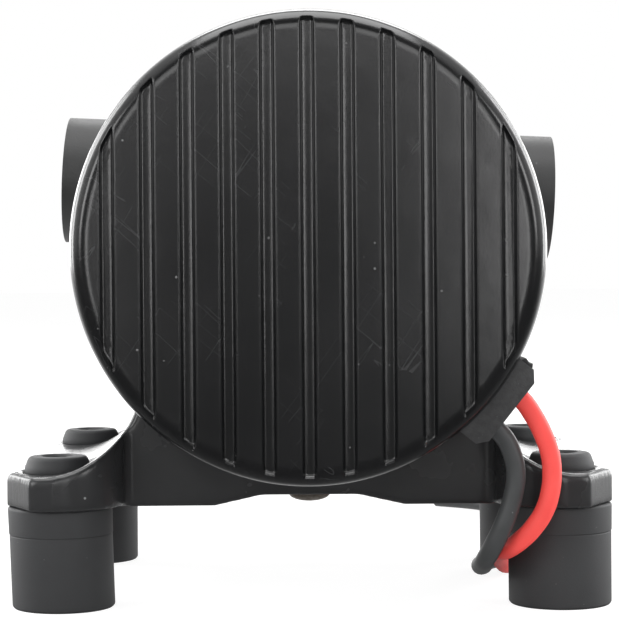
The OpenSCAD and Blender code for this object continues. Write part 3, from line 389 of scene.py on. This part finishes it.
def mouldedFinish(name, look):
    # plastic or rubber: two close colours in soft patches, dust, scratches and a fine grain
    material, tree, shader = newMaterial(name)
    place = tree.nodes.new("ShaderNodeTexCoord").outputs["Object"]
    patches = noiseOf(tree, place, look.get("patchScale", patterns["patchScale"]), detail=5.0)
    color = mixOf(tree, rampOf(tree, patches, patterns["patchEdge"], (0, 1)), look["color"], look["second"])
    smudges = noiseOf(tree, place, look.get("smudgeScale", patterns["smudgeScale"]), detail=3.0)
    rough = rampOf(tree, smudges, patterns["smudgeEdge"], look["gloss"])
    grain = noiseOf(tree, place, look["grain"], detail=2.0)
    normal = bumpOf(tree, grain, look["relief"], patterns["grainDepth"])
    if "waves" in look:
        scale, strength = look["waves"]
        waves = noiseOf(tree, place, scale, detail=1.0)
        normal = bumpOf(tree, waves, strength, patterns["waveDepth"], normal)
    if "scratch" in look:
        # only on the closed end
        split = tree.nodes.new("ShaderNodeSeparateXYZ")
        link(tree, place, split.inputs["Vector"])
        onFace = mathOf(tree, "LESS_THAN", split.outputs["Y"], look["scratch"]["before"])
        shown = mathOf(tree, "MULTIPLY", onFace, look["scratch"]["show"])
        for turn in look["scratch"]["turns"]:
            lines = scratchesOf(tree, place, look["scratch"]["scale"], turn, look["scratch"]["width"])
            color = mixOf(tree, mathOf(tree, "MULTIPLY", lines, shown), color, look["scratch"]["color"])
    if "streaks" in look:
        run = noiseOf(tree, place, look["streaks"]["scale"], detail=2.0, stretch=look["streaks"]["stretch"])
        normal = bumpOf(tree, run, look["streaks"]["relief"], patterns["streakDepth"], normal)
    if "dust" in look:
        for scale, size, share in look["dust"]["specks"]:
            specks = specksOf(tree, place, scale, size, share)
            shown = mathOf(tree, "MULTIPLY", specks, look["dust"]["show"])
            color = mixOf(tree, shown, color, look["dust"]["color"])
            rough = mixOf(tree, specks, rough, (patterns["dustRough"],) * 3)
    link(tree, color, shader.inputs["Base Color"])
    link(tree, rough, shader.inputs["Roughness"])
    link(tree, normal, shader.inputs["Normal"])
    shader.inputs["IOR"].default_value = patterns["plasticIor"]
    shader.inputs["Specular IOR Level"].default_value = look.get("specular", patterns["specular"])
    return material


def metalFinish(name, look):
    # drawn, cast or plated metal: brushed roughness, faint tarnish and a fine relief
    material, tree, shader = newMaterial(name)
    place = tree.nodes.new("ShaderNodeTexCoord").outputs["Object"]
    stains = noiseOf(tree, place, look.get("stainScale", patterns["stainScale"]), detail=6.0)
    color = mixOf(tree, rampOf(tree, stains, patterns["stainEdge"], (0, 1)), look["color"], look["stain"])
    brushed = noiseOf(tree, place, look.get("brushScale", patterns["brushScale"]), detail=3.0,
                      stretch=look.get("stretch", patterns["brushStretch"]))
    rough = rampOf(tree, brushed, patterns["brushEdge"], look["gloss"])
    link(tree, color, shader.inputs["Base Color"])
    link(tree, rough, shader.inputs["Roughness"])
    link(tree, bumpOf(tree, brushed, look["relief"], patterns["brushDepth"]), shader.inputs["Normal"])
    shader.inputs["Metallic"].default_value = 1.0
    return material


finishes = {
    "cover": mouldedFinish("coverPlastic", {
        "color": (0.006, 0.0062, 0.0066), "second": (0.0076, 0.0078, 0.0082), "patchScale": 55,
        "gloss": (0.185, 0.205), "specular": 0.62, "smudgeScale": 60, "grain": 2600, "relief": 0.04,
        "waves": (160, 0.035),
        "scratch": {"scale": 330, "turns": [(0, 0.85, 0), (0, -0.6, 0)], "width": 0.003, "show": 0.3,
                    "before": -57 * mm, "color": (0.06, 0.06, 0.062)},
        "dust": {"specks": [(420, 0.09, 0.05), (900, 0.1, 0.02)], "show": 0.6, "color": (0.2, 0.2, 0.2)}}),
    "housing": mouldedFinish("housingPlastic", {
        "color": (0.0145, 0.0147, 0.015), "second": (0.019, 0.0192, 0.0195), "patchScale": 80,
        "gloss": (0.45, 0.57), "grain": 1800, "relief": 0.16,
        "dust": {"specks": [(500, 0.1, 0.05)], "show": 0.5, "color": (0.2, 0.2, 0.2)}}),
    "bracket": mouldedFinish("bracketPlastic", {
        "color": (0.021, 0.0213, 0.0222), "second": (0.026, 0.0264, 0.0273), "patchScale": 50,
        "gloss": (0.2, 0.3), "smudgeScale": 90, "grain": 2200, "relief": 0.03,
        "streaks": {"scale": 300, "stretch": (0.25, 2.4, 0.25), "relief": 0.1},
        "dust": {"specks": [(380, 0.09, 0.05)], "show": 0.7, "color": (0.3, 0.3, 0.3)}}),
    "foot": mouldedFinish("footRubber", {
        "color": (0.026, 0.0266, 0.0284), "second": (0.031, 0.0318, 0.0335), "patchScale": 70,
        "gloss": (0.6, 0.7), "grain": 2400, "relief": 0.1,
        "dust": {"specks": [(760, 0.09, 0.05)], "show": 0.5, "color": (0.18, 0.18, 0.18)}}),
    "seal": mouldedFinish("sealRubber", {
        "color": (0.018, 0.018, 0.019), "second": (0.024, 0.024, 0.025), "gloss": (0.6, 0.75),
        "grain": 2400, "relief": 0.12}),
    "gland": mouldedFinish("glandPlastic", {
        "color": (0.022, 0.022, 0.023), "second": (0.034, 0.034, 0.035), "patchScale": 900,
        "gloss": (0.5, 0.66), "grain": 1500, "relief": 0.4,
        "dust": {"specks": [(1500, 0.16, 0.12)], "show": 0.3, "color": (0.16, 0.16, 0.165)}}),
    "inner": mouldedFinish("innerPlastic", {
        "color": (0.05, 0.05, 0.053), "second": (0.066, 0.066, 0.07), "gloss": (0.4, 0.55),
        "grain": 1500, "relief": 0.1}),
    "natural": mouldedFinish("naturalPlastic", {
        "color": (0.72, 0.69, 0.60), "second": (0.66, 0.63, 0.54), "gloss": (0.35, 0.5),
        "grain": 1300, "relief": 0.08}),
    "button": mouldedFinish("buttonPlastic", {
        "color": (0.5, 0.08, 0.06), "second": (0.42, 0.06, 0.045), "gloss": (0.35, 0.5),
        "grain": 1500, "relief": 0.08}),
    "red": mouldedFinish("redInsulation", {
        "color": (0.76, 0.058, 0.05), "second": (0.82, 0.075, 0.064), "patchScale": 90,
        "gloss": (0.44, 0.54), "specular": 0.35, "grain": 1400, "relief": 0.04}),
    "black": mouldedFinish("blackInsulation", {
        "color": (0.043, 0.045, 0.046), "second": (0.052, 0.054, 0.056), "patchScale": 120,
        "gloss": (0.4, 0.5), "specular": 0.4, "grain": 1400, "relief": 0.04,
        "dust": {"specks": [(700, 0.1, 0.05)], "show": 0.5, "color": (0.3, 0.3, 0.3)}}),
    "ferrite": mouldedFinish("ferriteMagnet", {
        "color": (0.06, 0.06, 0.063), "second": (0.09, 0.09, 0.093), "patchScale": 300, "gloss": (0.6, 0.75),
        "grain": 1800, "relief": 0.2}),
    "carbon": mouldedFinish("pressedCarbon", {
        "color": (0.03, 0.03, 0.032), "second": (0.045, 0.045, 0.048), "gloss": (0.45, 0.6),
        "grain": 1500, "relief": 0.15}),
    "steel": metalFinish("groundSteel", {
        "color": (0.55, 0.56, 0.57), "stain": (0.42, 0.43, 0.44), "gloss": (0.22, 0.36), "relief": 0.05}),
    "plated": metalFinish("platedSteel", {
        "color": (0.55, 0.55, 0.54), "stain": (0.40, 0.39, 0.36), "gloss": (0.28, 0.42), "relief": 0.05}),
    "screw": metalFinish("dullZinc", {
        "color": (0.30, 0.27, 0.24), "stain": (0.17, 0.14, 0.115), "stainScale": 900,
        "gloss": (0.42, 0.6), "relief": 0.2}),
    "cast": metalFinish("castMetal", {
        "color": (0.5, 0.51, 0.52), "stain": (0.38, 0.385, 0.39), "gloss": (0.4, 0.55), "relief": 0.12,
        "stretch": (1, 1, 1)}),
    "lamination": metalFinish("laminationSteel", {
        "color": (0.22, 0.23, 0.24), "stain": (0.15, 0.155, 0.16), "gloss": (0.4, 0.55), "relief": 0.35,
        "brushScale": 1400, "stretch": (0.02, 1, 0.02)}),
    "copper": metalFinish("enamelledCopper", {
        "color": (0.55, 0.24, 0.10), "stain": (0.42, 0.16, 0.06), "gloss": (0.28, 0.42), "relief": 0.3,
        "brushScale": 700}),
    "brass": metalFinish("drawnBrass", {
        "color": (0.68, 0.53, 0.24), "stain": (0.52, 0.38, 0.15), "gloss": (0.25, 0.4), "relief": 0.06}),
    "tinned": metalFinish("tinnedStrands", {
        "color": (0.58, 0.58, 0.56), "stain": (0.40, 0.33, 0.26), "gloss": (0.3, 0.45), "relief": 0.5,
        "brushScale": 900}),
}
print("finishes made:", len(finishes))

nodeFinishes = {
    "cover": ["motor_cover"],
    "housing": ["drive_housing", "pump_head", "switch_base", "switch_cover"],
    "bracket": ["base_bracket"],
    "foot": ["foot_rear_left", "foot_rear_right", "foot_front_left", "foot_front_right"],
    "seal": ["diaphragm", "inlet_valves", "outlet_valve", "valve_seal", "switch_diaphragm"],
    "gland": ["gland_body", "gland_clip"],
    "inner": ["brush_holder", "micro_switch"],
    "natural": ["wobble_plate", "pistons", "valve_plate", "switch_plunger"],
    "button": ["switch_button"],
    "red": ["red_lead", "lead_plug"],
    "black": ["black_lead"],
    "ferrite": ["magnets"],
    "carbon": ["brushes"],
    "steel": ["motor_shaft", "rear_bearing", "front_bearing", "cam_bearing", "cam", "wave_washer"],
    "plated": ["motor_can", "through_bolts", "head_screws", "switch_screws", "piston_screws",
               "brush_springs", "switch_spring"],
    "screw": ["base_screws"],
    "cast": ["motor_end_plate"],
    "lamination": ["armature_core"],
    "copper": ["windings", "commutator"],
    "brass": ["adjusting_screw", "switch_terminals"],
    "tinned": ["lead_end"],
}


def dressNodes():
    dressed = set()
    for finish, names in nodeFinishes.items():
        for name in names:
            node = frame["nodes"][name]
            node.data.materials.clear()
            node.data.materials.append(finishes[finish])
            dressed.add(name)
    print("nodes dressed:", len(dressed), "left over:", sorted(set(frame["nodes"]) - dressed))


dressNodes()


# the leads take their finish

finishPiece(redLead, "pump_body", "red_insulation", finishes["red"], "red_lead")
finishPiece(blackLead, "pump_body", "black_insulation", finishes["black"], "black_lead")
print("leads dressed")


# the ribbed motor cover

coverShell = {
    "outer": 43.5 * mm,
    "rear": -58 * mm,
    "front": 46 * mm,
    "wall": 2.5 * mm,
    "end": 4 * mm,
    "segments": 192,
    # radius and depth of the rim, from the flat face out to the side
    # its two rings of no depth keep the face's shading flat, and so do the groove's last two lines
    "rim": [(39.4, 0), (39.7, 0), (40.3, 0.03), (40.8, 0.12), (41.1, 0.21), (41.3, 0.29), (41.5, 0.4),
            (41.7, 0.52), (41.85, 0.62), (42, 0.74), (42.3, 1), (42.55, 1.27), (42.75, 1.55), (42.9, 1.85),
            (43.05, 2.25), (43.2, 2.8), (43.33, 3.45), (43.43, 4.2), (43.5, 5.2)],
    "grooveEnds": (41.25, 41.95),    # radii between which a groove's floor comes up to the rim
    # half width and depth of a groove, from its middle out to the flat of the bars
    "groove": [(0, 1.25), (0.7, 1.25), (0.86, 1.22), (0.94, 1.1), (1.02, 0.85), (1.1, 0.6), (1.18, 0.4),
               (1.27, 0.24), (1.38, 0.12), (1.5, 0.045), (1.66, 0), (1.72, 0)],
    "pitch": 7.25 * mm,
    "count": 11,
    "blend": 5,               # the higher, the smaller the fillet between groove and rim
    "chamfer": 0.4 * mm,      # at the front edge
    "cutGap": 0.005 * mm,     # cuts closer than this run into one
    "weldGap": 0.002 * mm,
    "smooth": 40,
}


def grooveDepth(x):
    half = (coverShell["count"] - 1) / 2
    nearest = max(-half, min(half, round(x / coverShell["pitch"])))
    aside = abs(x - nearest * coverShell["pitch"]) / mm
    widths, depths = zip(*coverShell["groove"])
    return float(np.interp(aside, widths, depths)) * mm


def rimDepth(r):
    radii, depths = zip(*coverShell["rim"])
    return float(np.interp(r / mm, radii, depths)) * mm


def faceDepth(x, z):
    # groove and rim run into each other in a small fillet
    out = hypot(x, z) / mm
    start, end = coverShell["grooveEnds"]
    left = max(0.0, min(1.0, (end - out) / (end - start)))
    groove = grooveDepth(x) / mm * left
    rim = rimDepth(out * mm) / mm
    power = coverShell["blend"]
    if groove + rim == 0:
        return 0.0
    return (groove ** power + rim ** power) ** (1 / power) * mm


def growRing(factor, along):
    # extrudes the selected border, scales it about the axis and moves it along the cover
    bpy.ops.mesh.extrude_region_move(TRANSFORM_OT_translate={"value": (0, along, 0)})
    bpy.ops.transform.resize(value=(factor, 1, factor), center_override=(0, 0, motorAxis))


def makeCover():
    rim = coverShell["rim"]
    first = rim[0][0] * mm
    deselectAll()
    bpy.ops.mesh.primitive_circle_add(
        vertices=coverShell["segments"], radius=first, fill_type="NGON",
        location=(0, coverShell["rear"], motorAxis), rotation=(radians(90), 0, 0))
    piece = bpy.context.active_object
    piece.name = "ribbedCover"
    bpy.ops.object.transform_apply(location=True, rotation=True, scale=True)
    bpy.ops.object.mode_set(mode="EDIT")
    bpy.ops.mesh.select_mode(type="EDGE")
    bpy.ops.mesh.select_all(action="SELECT")
    bpy.ops.mesh.region_to_loop()
    last = first
    for r, _ in rim[1:]:
        growRing(r * mm / last, 0)
        last = r * mm
    # a cut along every line of the grooves' section
    half = (coverShell["count"] - 1) / 2
    for i in range(coverShell["count"]):
        middle = (i - half) * coverShell["pitch"]
        for aside, _ in coverShell["groove"]:
            for side in ((-1, 1) if aside else (1,)):
                bpy.ops.mesh.select_all(action="SELECT")
                bpy.ops.mesh.bisect(plane_co=(middle + side * aside * mm, 0, 0), plane_no=(1, 0, 0),
                                    threshold=coverShell["cutGap"])
    bpy.ops.object.mode_set(mode="OBJECT")
    for vertex in piece.data.vertices:
        x, z = vertex.co.x, vertex.co.z - motorAxis
        vertex.co.y = coverShell["rear"] + faceDepth(x, z)
    # side wall, front edge and the inside of the shell
    bpy.ops.object.mode_set(mode="EDIT")
    bpy.ops.mesh.select_all(action="SELECT")
    bpy.ops.mesh.region_to_loop()
    outer, inner = coverShell["outer"], coverShell["outer"] - coverShell["wall"]
    start = coverShell["rear"] + rim[-1][1] * mm
    edge = coverShell["chamfer"]
    growRing(1, coverShell["front"] - edge - start)
    growRing((outer - edge) / outer, edge)
    growRing(inner / (outer - edge), 0)
    growRing(1, coverShell["rear"] + coverShell["end"] - coverShell["front"])
    bpy.ops.mesh.edge_face_add()
    bpy.ops.object.mode_set(mode="OBJECT")
    tidyMesh(piece, coverShell["weldGap"])
    smoothByAngle(piece, coverShell["smooth"])
    finishPiece(piece, "pump_body", "cover_plastic", finishes["cover"], "motor_cover")


makeCover()
print("ribbed cover modelled")


# the rubber feet

foot = {
    "places": {"foot_rear_left": (-48, -32), "foot_rear_right": (48, -32),
               "foot_front_left": (-48, 32), "foot_front_right": (48, 32)},
    "steps": 96,
    "capFrom": 24 * mm,       # above this height the foot is its cap
    "capShift": 0.35 * mm,    # the caps sit a little towards the outside of their slots
    "seat": 19.35 * mm,       # where the bracket rests
    # a foot that isn't quite upright: for each metre below the seat it stands this much further in
    "lean": {"foot_rear_left": 0.033},
    "smooth": 38,
    # radius, height and rounding of each corner, from the bore up the side and back to the bore
    "profile": [
        (2.6, 0, 0), (9.45, 0, 0), (9.82, 0.35, 0.3), (9.86, 13.85, 0.1), (9.78, 13.98, 0.08),
        (9.8, 14.06, 0.08), (9.94, 14.16, 0.1), (10, 19, 0.25), (9.7, 19.35, 0.2), (4.5, 19.35, 0),
        (4.5, 25.15, 0), (5.9, 25.15, 0.2), (6.4, 25.6, 0.4), (6.42, 26.6, 0.5), (5.75, 28.4, 0.4),
        (5.3, 28.85, 0.4), (3.2, 28.95, 0.3), (2.6, 28.4, 0.3), (2.6, 0, 0)],
}


def makeFoot(name, place):
    points = roundCorners([(r * mm, z * mm, radius * mm) for r, z, radius in foot["profile"]])
    centre = (place[0] * mm, place[1] * mm, 0)
    piece = spinProfile(name.replace("_", "") + "Rubber", points, centre, foot["steps"])
    outward = 1 if place[0] > 0 else -1
    lean = foot["lean"].get(name, 0)
    for vertex in piece.data.vertices:
        if vertex.co.z > foot["capFrom"]:
            vertex.co.x += outward * foot["capShift"]
        elif vertex.co.z < foot["seat"]:
            vertex.co.x -= outward * lean * (foot["seat"] - vertex.co.z)
    smoothByAngle(piece, foot["smooth"])
    finishPiece(piece, "pump_body", "foot_rubber", finishes["foot"], name)


for footName, footPlace in foot["places"].items():
    makeFoot(footName, footPlace)
print("feet modelled")


# bracket, gland and pump end

# node: name of the rounded piece, width of the rounding, slot, finish
roundedParts = {
    "gland_body": ("glandBlock", 0.3 * mm, "housing_plastic", "gland"),
    "gland_clip": ("glandClip", 0.12 * mm, "housing_plastic", "gland"),
    "pump_head": ("pumpHeadShell", 0.5 * mm, "housing_plastic", "housing"),
    "drive_housing": ("driveHousingShell", 0.35 * mm, "housing_plastic", "housing"),
    "switch_base": ("switchBaseShell", 0.3 * mm, "housing_plastic", "housing"),
    "switch_cover": ("switchCoverShell", 0.4 * mm, "housing_plastic", "housing"),
    "valve_plate": ("valvePlateBody", 0.3 * mm, "natural_plastic", "natural"),
}

gland = {
    "pieces": ("glandBlock", "glandClip"),
    "sink": 0.75 * mm,    # they sit this much deeper towards the motor's axis
    "out": Vector((0.7826, 0, -0.6225)),
}


def makeRounded():
    for nodeName, (pieceName, width, slotName, finish) in roundedParts.items():
        piece = roundedCopy(nodeName, pieceName, width)
        if pieceName in gland["pieces"]:
            for vertex in piece.data.vertices:
                vertex.co -= gland["out"] * gland["sink"]
        finishPiece(piece, "pump_body", slotName, finishes[finish], nodeName)
        print("rounded:", pieceName, len(piece.data.polygons), "faces")


makeRounded()

bracket = {
    "edge": 0.9 * mm,        # rounding of the edges above the underside
    "edgeSteps": 4,
    "edgeFrom": 21 * mm,     # height where the rounded edges begin
    "sharpFrom": 28,         # a fold sharper than this, in degrees, is rounded
    "voxel": 0.5 * mm,       # grain of the remesh that joins the roundings
    "passes": 9,             # smoothing passes after it
    "relax": 0.5,            # strength of each
    "keep": 0.4,             # share of the faces that stay
    "earTop": (25.3 * mm, 25.85 * mm),    # height of the ears' top face in the model, and the one it gets
    "earUnder": (19 * mm, 19.35 * mm),    # the same for the underside
    "topBand": 0.6 * mm,     # what lies up to this much below the top face goes with it
    "blendTop": 46 * mm,     # the sweep takes up the difference below this height
    "lobeFrom": 35.4 * mm,   # the ears' lobes begin this far from the middle
}


def liftEars(piece):
    # the ears ride a little higher than the web between them
    topFrom, topTo = bracket["earTop"]
    underFrom, underTo = bracket["earUnder"]
    for vertex in piece.data.vertices:
        x, z = abs(vertex.co.x), vertex.co.z
        if z >= topFrom - bracket["topBand"]:
            left = (bracket["blendTop"] - z) / (bracket["blendTop"] - topFrom)
            vertex.co.z += (topTo - topFrom) * max(0.0, left)
        elif x > bracket["lobeFrom"]:
            vertex.co.z += underTo - underFrom


def weighEdges(piece):
    # only sharp edges above the underside are rounded
    shape = bmesh.new()
    shape.from_mesh(piece.data)
    weights = shape.edges.layers.float.new("bevel_weight_edge")
    for edge in shape.edges:
        if len(edge.link_faces) != 2 or min(vertex.co.z for vertex in edge.verts) <= bracket["edgeFrom"]:
            continue
        if edge.calc_face_angle() > radians(bracket["sharpFrom"]):
            edge[weights] = 1.0
    shape.to_mesh(piece.data)
    shape.free()


def makeBracket():
    piece = roundedCopy("base_bracket", "saddleBracket", 0)
    liftEars(piece)
    weighEdges(piece)
    edges = piece.modifiers.new("edges", "BEVEL")
    edges.width = bracket["edge"]
    edges.segments = bracket["edgeSteps"]
    edges.limit_method = "WEIGHT"
    edges.use_clamp_overlap = False
    melt = piece.modifiers.new("melt", "REMESH")
    melt.mode = "VOXEL"
    melt.voxel_size = bracket["voxel"]
    melt.use_smooth_shade = True
    applyModifiers(piece)
    relax = piece.modifiers.new("relax", "SMOOTH")
    relax.factor = bracket["relax"]
    relax.iterations = bracket["passes"]
    thin = piece.modifiers.new("thin", "DECIMATE")
    thin.ratio = bracket["keep"]
    applyModifiers(piece)
    print("bracket melted:", len(piece.data.polygons), "faces")
    finishPiece(piece, "pump_body", "bracket_plastic", finishes["bracket"], "base_bracket")


makeBracket()


# light and floor

studio = {
    "fill": 0.22,           # light of the surroundings on the pump
    "backdrop": 1.0,        # what shines in its gloss from behind and beside it
    "cameraSide": 0.05,     # and from the dark side of the room, behind the camera
    "roomTurn": (0.1, 0.38),    # where the dark side of the room turns into the bright one
    "lamps": [
        # name, place, aimed at, width, height, power
        ("topSoftbox", (0, -0.1, 0.85), (0, 0.02, 0.06), 0.8, 0.6, 6.5),
        ("leftSoftbox", (-0.8, 0.22, 0.3), (0, 0, 0.07), 0.3, 0.8, 6),
        ("rightSoftbox", (0.8, 0.22, 0.3), (0, 0, 0.07), 0.3, 0.8, 6),
        ("lowBack", (0, 1.1, 0.16), (0, 0, 0.04), 1.2, 0.22, 3.3),
        ("highBack", (0, 0.85, 0.8), (0, 0, 0.07), 0.7, 0.45, 4.5),
        ("leftBack", (-0.8, 0.85, 0.35), (0, 0, 0.07), 0.3, 0.8, 3.6),
        ("rightBack", (0.8, 0.85, 0.35), (0, 0, 0.07), 0.3, 0.8, 3.6),
        ("highFill", (0, -1.0, 0.38), (0, 0, 0.07), 0.7, 0.22, 1.2),
        ("topStrip", (0.02, -1.05, 0.27), (0, 0, 0.07), 0.5, 0.06, 0.18),
        ("leftFill", (-0.26, -1.05, 0.13), (0, 0, 0.06), 0.1, 0.26, 0.5),
        ("rightFill", (0.2, -1.05, 0.13), (0, 0, 0.06), 0.1, 0.26, 0.5),
        ("leftWide", (-0.78, -0.75, 0.35), (0, 0, 0.06), 0.3, 0.5, 2.6),
        ("rightWide", (0.78, -0.75, 0.35), (0, 0, 0.06), 0.3, 0.5, 2.6),
    ],
    "floorSize": 8,
    "floorColor": (0.86, 0.86, 0.86),
    "floorGloss": (0.9, 0.2),       # roughness and specular
    "floorGlow": (0.72, 1.28),      # share and strength of the floor's own white
    "floorDark": 0.06,              # how much white the floor shows in the gloss from the camera's side
    "floorTurn": (0.42, 0.62),      # where that dark part turns into the white one
}


def areaLamp(name, place, aim, width, height, power):
    turn = (Vector(aim) - Vector(place)).to_track_quat("-Z", "Y").to_euler()
    bpy.ops.object.light_add(type="AREA", location=place, rotation=turn)
    lamp = bpy.context.active_object
    lamp.name = name
    lamp.data.shape = "RECTANGLE"
    lamp.data.size, lamp.data.size_y = width, height
    lamp.data.energy = power
    lamp.visible_camera = False


def makeStudio():
    world = bpy.data.worlds.new("studio")
    bpy.context.scene.world = world
    world.use_nodes = True
    tree = world.node_tree
    sky = tree.nodes["Background"]
    sky.inputs["Color"].default_value = (1, 1, 1, 1)
    path = tree.nodes.new("ShaderNodeLightPath")
    direction = tree.nodes.new("ShaderNodeSeparateXYZ")
    link(tree, tree.nodes.new("ShaderNodeTexCoord").outputs["Generated"], direction.inputs["Vector"])
    depth = mathOf(tree, "MULTIPLY_ADD", direction.outputs["Y"], 0.5)    # 0 behind the camera, 1 ahead
    room = rampOf(tree, depth, studio["roomTurn"], (studio["cameraSide"], studio["backdrop"]))
    seen = mathOf(tree, "MULTIPLY", room, mathOf(tree, "MAXIMUM", path.outputs["Is Glossy Ray"],
                                                 path.outputs["Is Transmission Ray"]))
    plain = mathOf(tree, "MULTIPLY", path.outputs["Is Diffuse Ray"], studio["fill"])
    white = mathOf(tree, "MAXIMUM", path.outputs["Is Camera Ray"], mathOf(tree, "MAXIMUM", seen, plain))
    link(tree, white, sky.inputs["Strength"])
    for lamp in studio["lamps"]:
        areaLamp(*lamp)


def makeFloor():
    deselectAll()
    bpy.ops.mesh.primitive_plane_add(size=studio["floorSize"], location=(0, 0, 0))
    floor = bpy.context.active_object
    floor.name = "floor"
    paper, tree, shader = newMaterial("paleFloor")
    shader.inputs["Base Color"].default_value = (*studio["floorColor"], 1)
    shader.inputs["Roughness"].default_value = studio["floorGloss"][0]
    shader.inputs["Specular IOR Level"].default_value = studio["floorGloss"][1]
    glow = tree.nodes.new("ShaderNodeEmission")
    path = tree.nodes.new("ShaderNodeLightPath")
    spot = tree.nodes.new("ShaderNodeSeparateXYZ")
    link(tree, tree.nodes.new("ShaderNodeTexCoord").outputs["Object"], spot.inputs["Vector"])
    depth = mathOf(tree, "MULTIPLY_ADD", spot.outputs["Y"], 1.0)    # y in metres, plus a half
    paled = rampOf(tree, depth, studio["floorTurn"], (studio["floorDark"], 1))
    share, strength = studio["floorGlow"]
    seen = mathOf(tree, "MULTIPLY", path.outputs["Is Camera Ray"], strength)
    link(tree, mathOf(tree, "MAXIMUM", seen, paled), glow.inputs["Strength"])
    mirrored = mathOf(tree, "MAXIMUM", path.outputs["Is Glossy Ray"], path.outputs["Is Transmission Ray"])
    seenShare = mathOf(tree, "MULTIPLY", path.outputs["Is Camera Ray"], share)
    mix = tree.nodes.new("ShaderNodeMixShader")
    link(tree, mathOf(tree, "MAXIMUM", seenShare, mirrored), mix.inputs["Fac"])
    link(tree, shader.outputs["BSDF"], mix.inputs[1])
    link(tree, glow.outputs["Emission"], mix.inputs[2])
    link(tree, mix.outputs["Shader"], tree.nodes["Material Output"].inputs["Surface"])
    floor.data.materials.append(paper)


makeStudio()
makeFloor()
bpy.context.scene.view_settings.view_transform = "Standard"
print("studio lit")
